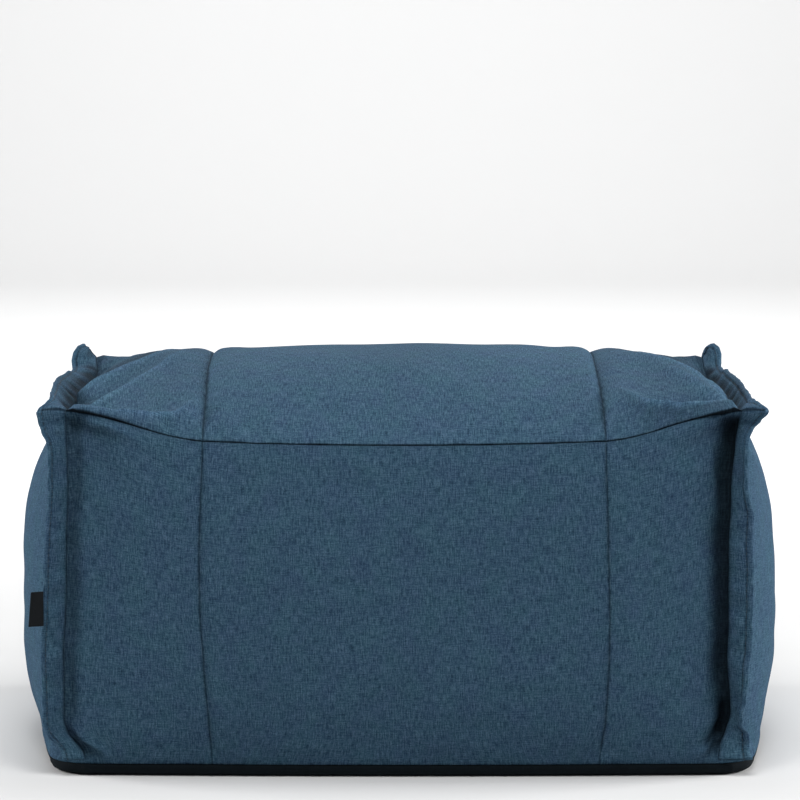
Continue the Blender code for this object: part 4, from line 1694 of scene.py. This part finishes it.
@dataclass
class BasePanel:
    """The tray of dark base cloth: its flat underside, its low band and a short seam near each corner."""

    shape: FilledShape
    outside: tuple = ((0.0, 0.0150), (0.0002, 0.0125), (0.0010, 0.0095), (0.0034, 0.0055), (0.0080, 0.0030),
                      (0.0110, 0.0023), (0.0122, 0.0026))
    inside: tuple = ((0.0125, 0.0032), (0.0122, 0.0040), (0.0049, 0.0072), (0.0020, 0.0150))
    seams: tuple = ((-0.3095, -1.0), (0.3230, -1.0), (-0.3100, 1.0), (0.3100, 1.0))
    seam_proud: float = 0.0012
    seam_reach: float = 0.0042
    weave_cell: tuple = (0.009, 0.003)
    weave_shift: float = 4.0

    def build(self) -> Object:
        """Lofts the tray on the base outline.

        Returns:
            The finished object.
        """
        _, points, outward = self.shape.outline()
        rings = []
        for level, (height, drawn_in) in enumerate(self.outside + self.inside):
            proud = self.seam_rise(points) if 2 <= level < len(self.outside) else np.zeros(len(points))
            moved = points - outward * (drawn_in - proud)[:, None]
            rings.append([(x, y, height) for x, y in moved])
        bm = bmesh.new()
        wide, high = self.weave_cell
        made = woven_faces(bm, rings, lambda row, column: (column * wide, row * high), closed=True)
        layer = bm.loops.layers.uv[WEAVE_MAP]
        for ring in (made[0], made[-1]):
            face = bm.faces.new(ring)
            for loop in face.loops:
                loop[layer].uv = (loop.vert.co.x, loop.vert.co.y + self.weave_shift)
        bmesh.ops.recalc_face_normals(bm, faces=bm.faces)
        mesh = mesh_from(bm, "base_band")
        mesh.shade_smooth()
        mesh.set_sharp_from_angle(angle=math.radians(60.0))
        return new_object("base_band", mesh)

    def seam_rise(self, points: Array) -> Array:
        """How far the short upright seams of the band stand proud at points of the outline.

        Args:
            points: points of the outline.

        Returns:
            The rise at each point.
        """
        rise = np.zeros(len(points))
        for x, end in self.seams:
            rise += self.seam_proud * bell(points[:, 0] - x, self.seam_reach) * (end * points[:, 1] > 0.0)
        return rise


@dataclass
class LabelTab:
    """A bare folded tab of black tape, caught in the left flange's outer edge."""

    centre_height: float = 0.1675
    height: float = 0.0340
    top_width: float = 0.0125
    foot_width: float = 0.0150
    thickness: float = 0.0011
    lean: float = 0.0030
    columns: int = 12
    rows: int = 16
    bend: float = 0.0012
    wave: float = 0.0004
    weave_cell: tuple = (0.0012, 0.0021)

    def build(self) -> Object:
        """Makes the tab as a thin doubled strip that bends away from the flange.

        Returns:
            The finished object.
        """
        low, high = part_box("label_tab")
        start = Vector((high.x, low.y + 0.0010, self.centre_height))
        outward = Vector((-0.98, 0.20, 0.0)).normalized()
        sideways = Vector((-outward.y, outward.x, 0.0))
        grid = []
        for i in range(self.rows + 1):
            up = i / self.rows
            width = self.foot_width + (self.top_width - self.foot_width) * up
            line = []
            for j in range(self.columns + 1):
                out = j / self.columns
                bend = self.bend * out * out + self.wave * math.sin(3.0 * up + 2.0 * out)
                point = start + outward * (width * out + 0.0004) + sideways * bend
                point.z += (up - 0.5) * self.height - self.lean * (out - 0.5) * 0.4
                line.append(point)
            grid.append(line)
        bm = bmesh.new()
        wide, high = self.weave_cell
        woven_faces(bm, grid, lambda row, column: (column * wide, row * high), closed=False)
        mesh = mesh_from(bm, "label_tape")
        obj = new_object("label_tape", mesh)
        wall = obj.modifiers.new("doubled", "SOLIDIFY")
        wall.thickness = self.thickness
        wall.offset = 0.0
        edge = obj.modifiers.new("soft_edge", "BEVEL")
        edge.width = 0.0003
        edge.segments = 2
        edge.limit_method = "ANGLE"
        settle_modifiers(obj)
        obj.data.shade_smooth()
        obj.data.set_sharp_from_angle(angle=math.radians(50.0))
        return obj


class WeaveGroup:
    """The shader node group for woven cloth: slubbed yarns both ways, slow mottling and relief.

    Its inputs are the flat place, three yarn colours and three numbers. It gives the colour, the relief and
    the roughness.
    """

    NAME = "slubbed_weave"
    COLOURS = ("Yarn", "Dark yarn", "Pale yarn")
    NUMBERS = (("Yarn pitch", 0.0011), ("Slub strength", 0.6), ("Mottle strength", 0.3))
    SLUB_SCALES = (1000.0, 95.0)
    SLUB_SHARES = (0.47, 0.29, 0.24)
    TONE_GAIN = 1.6

    @classmethod
    def tree(cls) -> NodeTree:
        """The group, built once.

        Returns:
            The group's tree.
        """
        if cls.NAME in bpy.data.node_groups:
            return bpy.data.node_groups[cls.NAME]
        tree = bpy.data.node_groups.new(cls.NAME, "ShaderNodeTree")
        face = tree.interface
        face.new_socket("Flat place", in_out="INPUT", socket_type="NodeSocketVector")
        for label in cls.COLOURS:
            face.new_socket(label, in_out="INPUT", socket_type="NodeSocketColor")
        for label, value in cls.NUMBERS:
            socket = face.new_socket(label, in_out="INPUT", socket_type="NodeSocketFloat")
            socket.default_value = value
        face.new_socket("Colour", in_out="OUTPUT", socket_type="NodeSocketColor")
        face.new_socket("Relief", in_out="OUTPUT", socket_type="NodeSocketFloat")
        face.new_socket("Roughness", in_out="OUTPUT", socket_type="NodeSocketFloat")
        cls.wire(tree)
        return tree

    @classmethod
    def wire(cls, tree: NodeTree) -> None:
        """Joins the yarn, slub and mottle patterns.

        Args:
            tree: the group's tree, with its sockets.
        """
        nodes, link = tree.nodes, tree.links.new
        given, ended = nodes.new("NodeGroupInput"), nodes.new("NodeGroupOutput")

        def noise(scale: tuple, detail: float, shift: float) -> NodeSocket:
            """Noise stretched by a scale for each direction.

            Args:
                scale: how fine it is each way.
                detail: how many finer layers it has.
                shift: where it starts.

            Returns:
                The noise.
            """
            mapping = nodes.new("ShaderNodeMapping")
            mapping.inputs["Scale"].default_value = (*scale, 1.0)
            mapping.inputs["Location"].default_value = (shift, shift * 1.7, shift * 0.6)
            texture = nodes.new("ShaderNodeTexNoise")
            texture.inputs["Scale"].default_value = 1.0
            texture.inputs["Detail"].default_value = detail
            texture.inputs["Roughness"].default_value = 0.55
            link(given.outputs["Flat place"], mapping.inputs["Vector"])
            link(mapping.outputs["Vector"], texture.inputs["Vector"])
            return texture.outputs["Fac"]

        def math_node(kind: str, first: object, second: object = None) -> NodeSocket:
            """A Math node on sockets or numbers.

            Args:
                kind: the operation.
                first: a socket or a number.
                second: another, or nothing.

            Returns:
                The result.
            """
            node = nodes.new("ShaderNodeMath")
            node.operation = kind
            for socket, value in zip(node.inputs, (first, second)):
                if isinstance(value, NodeSocket):
                    link(value, socket)
                elif value is not None:
                    socket.default_value = float(value)
            return node.outputs["Value"]

        def spread(value: NodeSocket, low: float, high: float) -> NodeSocket:
            """Stretches a mask between two values over 0 to 1.

            Args:
                value: the mask.
                low: what becomes 0.
                high: what becomes 1.

            Returns:
                The stretched mask.
            """
            node = nodes.new("ShaderNodeMapRange")
            node.inputs["From Min"].default_value = low
            node.inputs["From Max"].default_value = high
            link(value, node.inputs["Value"])
            return node.outputs["Result"]

        def mix(factor: NodeSocket, first: NodeSocket, second: NodeSocket) -> NodeSocket:
            """Mixes two colours.

            Args:
                factor: the share of the second.
                first: a colour.
                second: a colour.

            Returns:
                The mixed colour.
            """
            node = nodes.new("ShaderNodeMix")
            node.data_type = "RGBA"
            link(factor, node.inputs["Factor"])
            link(first, node.inputs["A"])
            link(second, node.inputs["B"])
            return node.outputs["Result"]

        across, along = cls.SLUB_SCALES
        warp = spread(noise((across, along), 2.0, 0.0), 0.30, 0.70)
        weft = spread(noise((along, across), 2.0, 3.1), 0.30, 0.70)
        flecks = spread(noise((800.0, 800.0), 1.0, 7.7), 0.33, 0.67)
        slubs, weft, flecks = (
            math_node("MULTIPLY", yarns, share) for yarns, share in zip((warp, weft, flecks), cls.SLUB_SHARES)
        )
        slubs = math_node("ADD", math_node("ADD", slubs, weft), flecks)
        mottle = spread(noise((42.0, 34.0), 3.0, 1.3), 0.32, 0.68)
        parts = nodes.new("ShaderNodeSeparateXYZ")
        link(given.outputs["Flat place"], parts.inputs["Vector"])
        turns = math_node("DIVIDE", 2.0 * math.pi, given.outputs["Yarn pitch"])
        over = math_node("SINE", math_node("MULTIPLY", parts.outputs["X"], turns))
        under = math_node("SINE", math_node("MULTIPLY", parts.outputs["Y"], turns))
        crossed = math_node("MULTIPLY", over, under)
        yarns = math_node("ADD", math_node("MULTIPLY", crossed, 0.5), 0.5)
        tone = math_node("SUBTRACT", slubs, 0.5)
        tone = math_node("MULTIPLY", tone, given.outputs["Slub strength"])
        darker = math_node("MAXIMUM", math_node("MULTIPLY", tone, -cls.TONE_GAIN), 0.0)
        paler = math_node("MAXIMUM", math_node("MULTIPLY", tone, cls.TONE_GAIN), 0.0)
        warm = math_node("MULTIPLY", mottle, given.outputs["Mottle strength"])
        colour = mix(darker, given.outputs["Yarn"], given.outputs["Dark yarn"])
        colour = mix(paler, colour, given.outputs["Pale yarn"])
        shift = nodes.new("ShaderNodeHueSaturation")
        link(colour, shift.inputs["Color"])
        link(math_node("ADD", 0.490, math_node("MULTIPLY", warm, 0.05)), shift.inputs["Hue"])
        link(math_node("ADD", 0.93, math_node("MULTIPLY", yarns, 0.14)), shift.inputs["Value"])
        relief = math_node("ADD", math_node("MULTIPLY", yarns, 0.5), math_node("MULTIPLY", slubs, 0.9))
        rough = math_node("ADD", 0.80, math_node("MULTIPLY", slubs, 0.16))
        link(shift.outputs["Color"], ended.inputs["Colour"])
        link(relief, ended.inputs["Relief"])
        link(rough, ended.inputs["Roughness"])


@dataclass(frozen=True)
class ClothFinish:
    """A woven cloth: its yarn colours, scale, relief and sheen."""

    name: str
    yarn: tuple
    dark: tuple
    pale: tuple
    pitch: float = 0.0011
    slubs: float = 1.65
    mottle: float = 0.35
    relief: float = 0.00040
    strength: float = 0.60
    sheen: float = 0.0
    specular: float = 0.04

    def material(self) -> Material:
        """The finish as a node material that reads the piece's own weave map, and scales its colour by the
        painted shade and highlight attribute.

        Returns:
            The material.
        """
        material = bpy.data.materials.new(self.name)
        material.use_nodes = True
        nodes = material.node_tree.nodes
        shader = nodes["Principled BSDF"]
        # Painted shade and highlight: the colour is scaled by one less the attribute
        shade = nodes.new("ShaderNodeAttribute")
        shade.attribute_name = PAINTED_LIGHT_AND_SHADE
        kept = nodes.new("ShaderNodeMath")
        kept.operation = "SUBTRACT"
        kept.inputs[0].default_value = 1.0
        shaded = nodes.new("ShaderNodeVectorMath")
        shaded.operation = "SCALE"
        shader.inputs["Sheen Weight"].default_value = self.sheen
        shader.inputs["Sheen Roughness"].default_value = 0.45
        shader.inputs["Specular IOR Level"].default_value = self.specular
        flat = nodes.new("ShaderNodeUVMap")
        flat.uv_map = WEAVE_MAP
        group = nodes.new("ShaderNodeGroup")
        group.node_tree = WeaveGroup.tree()
        for label, value in (
            ("Yarn", (*self.yarn, 1.0)),
            ("Dark yarn", (*self.dark, 1.0)),
            ("Pale yarn", (*self.pale, 1.0)),
            ("Yarn pitch", self.pitch),
            ("Slub strength", self.slubs),
            ("Mottle strength", self.mottle),
        ):
            group.inputs[label].default_value = value
        bump = nodes.new("ShaderNodeBump")
        bump.inputs["Distance"].default_value = self.relief
        bump.inputs["Strength"].default_value = self.strength
        wire_up(material.node_tree, (
            (shade, "Fac", kept, 1),
            (kept, "Value", shaded, "Scale"),
            (flat, "UV", group, "Flat place"),
            (group, "Colour", shaded, "Vector"),
            (shaded, "Vector", shader, "Base Color"),
            (group, "Roughness", shader, "Roughness"),
            (group, "Relief", bump, "Height"),
            (bump, "Normal", shader, "Normal"),
        ))
        return material


@dataclass(frozen=True)
class ThreadFinish:
    """Twisted sewing thread."""

    name: str
    colour: tuple
    highlight: tuple

    def material(self) -> Material:
        """The finish as a node material on Object coordinates.

        Returns:
            The material.
        """
        material = bpy.data.materials.new(self.name)
        material.use_nodes = True
        nodes = material.node_tree.nodes
        shader = nodes["Principled BSDF"]
        shader.inputs["Roughness"].default_value = 0.6
        shader.inputs["Specular IOR Level"].default_value = 0.3
        place = nodes.new("ShaderNodeTexCoord")
        twist = nodes.new("ShaderNodeTexNoise")
        twist.inputs["Scale"].default_value = 900.0
        ramp = nodes.new("ShaderNodeMix")
        ramp.data_type = "RGBA"
        ramp.inputs["A"].default_value = (*self.colour, 1.0)
        ramp.inputs["B"].default_value = (*self.highlight, 1.0)
        wire_up(material.node_tree, (
            (place, "Object", twist, "Vector"),
            (twist, "Fac", ramp, "Factor"),
            (ramp, "Result", shader, "Base Color"),
        ))
        return material


COVER_CLOTH = ClothFinish(
    "blue_melange_cloth",
    yarn=(0.0315, 0.0685, 0.1110), dark=(0.0105, 0.0265, 0.0505), pale=(0.0720, 0.1300, 0.1870),
)
BASE_CLOTH = ClothFinish(
    "black_base_cloth",
    yarn=(0.0036, 0.0064, 0.0092), dark=(0.0016, 0.0030, 0.0044), pale=(0.012, 0.018, 0.024),
    pitch=0.0008, slubs=0.6, mottle=0.1, specular=0.10,
)
LABEL_CLOTH = ClothFinish(
    "black_label_tape",
    yarn=(0.0030, 0.0044, 0.0060), dark=(0.004, 0.005, 0.006), pale=(0.022, 0.026, 0.030),
    pitch=0.0005, slubs=0.35, mottle=0.0, specular=0.2,
)
BLUE_THREAD = ThreadFinish("blue_thread", (0.006, 0.014, 0.024), (0.018, 0.036, 0.056))


@dataclass
class PhotoCamera:
    """The camera at the photograph's viewing angle."""

    place: tuple = (-0.002, -4.363, 0.836)
    tilt: float = 6.46
    focal_pixels: float = 4279.0
    image_width: float = 800.0

    def build(self) -> Object:
        """Makes the camera and sets it as the scene's.

        Returns:
            The camera.
        """
        data = bpy.data.cameras.new("photo_camera")
        data.sensor_width = 36.0
        data.lens = self.focal_pixels / self.image_width * data.sensor_width
        data.clip_end = 60.0
        camera = bpy.data.objects.new("photo_camera", data)
        camera.location = self.place
        camera.rotation_euler = (math.radians(90.0 - self.tilt), 0.0, 0.0)
        bpy.context.scene.collection.objects.link(camera)
        bpy.context.scene.camera = camera
        return camera


# Each soft light: its name, its place, the point that it faces, its size and its power
LIGHTS = (
    ("key_light", (0.0, -1.25, 1.95), (0.0, 0.0, 0.2), 1.1, 37.0),
    ("back_light", (0.0, 2.20, 1.80), (0.0, 0.0, 0.2), 1.2, 20.0),
    ("left_light", (-2.8, 0.3, 1.1), (0.0, 0.0, 0.2), 1.1, 73.0),
    ("right_light", (2.8, 0.3, 1.1), (0.0, 0.0, 0.2), 1.1, 98.0),
    ("backdrop_light", (0.0, 2.6, 3.4), (0.0, 7.0, 1.0), 3.0, 260.0),
)


@dataclass
class Studio:
    """A plain pale floor that turns up into a backdrop, and soft light."""

    radius: float = 1.6
    half_width: float = 14.0
    near: float = -9.0
    far: float = 7.0
    top: float = 9.0
    paint: float = 0.66
    sky: float = 0.21
    sweep_steps: int = 12

    def build(self) -> None:
        """Makes the floor, the lights and the world."""
        self.floor()
        self.world()
        for name, place, target, size, power in LIGHTS:
            self.light(name, place, target, size, power)
        bpy.context.scene.view_settings.view_transform = "Standard"

    def floor(self) -> None:
        """A floor that bends up at the back in one sweep."""
        profile = [(self.near, 0.0), (self.far - self.radius, 0.0)]
        for i in range(1, self.sweep_steps + 1):
            angle = math.pi / 2.0 * i / self.sweep_steps
            y = self.far - self.radius + self.radius * math.sin(angle)
            profile.append((y, self.radius * (1.0 - math.cos(angle))))
        profile.append((self.far, self.top))
        bm = bmesh.new()
        rows = [[bm.verts.new((x, y, z)) for x in (-self.half_width, self.half_width)] for y, z in profile]
        for low, high in zip(rows, rows[1:]):
            bm.faces.new((low[0], low[1], high[1], high[0]))
        mesh = mesh_from(bm, "studio_floor")
        mesh.shade_smooth()
        material = bpy.data.materials.new("studio_paint")
        material.use_nodes = True
        shader = material.node_tree.nodes["Principled BSDF"]
        shader.inputs["Base Color"].default_value = (self.paint, self.paint, self.paint, 1.0)
        shader.inputs["Roughness"].default_value = 1.0
        shader.inputs["Specular IOR Level"].default_value = 0.0
        mesh.materials.append(material)
        new_object("studio_floor", mesh)

    def world(self) -> None:
        """An even pale sky."""
        world = bpy.data.worlds.new("studio_sky")
        world.use_nodes = True
        background = world.node_tree.nodes["Background"]
        background.inputs["Color"].default_value = (0.97, 0.985, 1.0, 1.0)
        background.inputs["Strength"].default_value = self.sky
        bpy.context.scene.world = world

    def light(self, name: str, place: tuple, target: tuple, size: float, power: float) -> None:
        """A square soft light that faces a point.

        Args:
            name: its name.
            place: where it hangs.
            target: the point that it faces.
            size: its width.
            power: its power in watts.
        """
        data = bpy.data.lights.new(name, "AREA")
        data.shape = "SQUARE"
        data.size = size
        data.energy = power
        lamp = bpy.data.objects.new(name, data)
        lamp.location = place
        lamp.visible_camera = False
        aim = Vector(target) - Vector(place)
        lamp.rotation_euler = aim.to_track_quat("-Z", "Y").to_euler()
        bpy.context.scene.collection.objects.link(lamp)


def finish_piece(obj: Object, material: Material, slot: Slot, *nodes: str) -> None:
    """Gives a piece its finish and its body, and hides the nodes that it stands for.

    Args:
        obj: the piece.
        material: its finish.
        slot: the record's slot that it takes its finish from. It is not used.
        nodes: the CAD nodes that it replaces.
    """
    obj.data.materials.clear()
    obj.data.materials.append(material)
    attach(obj, "root")
    if nodes:
        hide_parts(*nodes)
    LOG.info("%s: %d faces", obj.name, len(obj.data.polygons))


def main() -> None:
    """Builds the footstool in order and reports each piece."""
    logging.basicConfig(level=logging.INFO, format="%(message)s")
    PhotoCamera().build()
    Studio().build()
    shape = FilledShape()
    cloth = COVER_CLOTH.material()
    thread = BLUE_THREAD.material()
    cover = FilledCover(shape).build()
    finish_piece(cover, cloth, Slot.COVER, "cover")

    flanges = (
        (EndFlange("left_flange_strip", -1.0, LEFT_EDGE, groove_at=0.89, groove_shade=0.34), "left_flange"),
        (EndFlange("right_flange_strip", 1.0, RIGHT_EDGE, groove_at=0.82, groove_shade=0.60), "right_flange"),
    )
    for strip, node in flanges:
        flange, groove = strip.build(cover.data, shape)
        finish_piece(flange, cloth, Slot.COVER, node)
        sewn = StitchRow().build(strip.name.replace("strip", "stitches"), groove, thread)
        finish_piece(sewn, thread, Slot.COVER)

    base = BasePanel(shape).build()
    finish_piece(base, BASE_CLOTH.material(), Slot.BASE, "base_panel")

    label = LabelTab().build()
    finish_piece(label, LABEL_CLOTH.material(), Slot.LABEL, "label_tab")


if __name__ == "__main__":
    main()
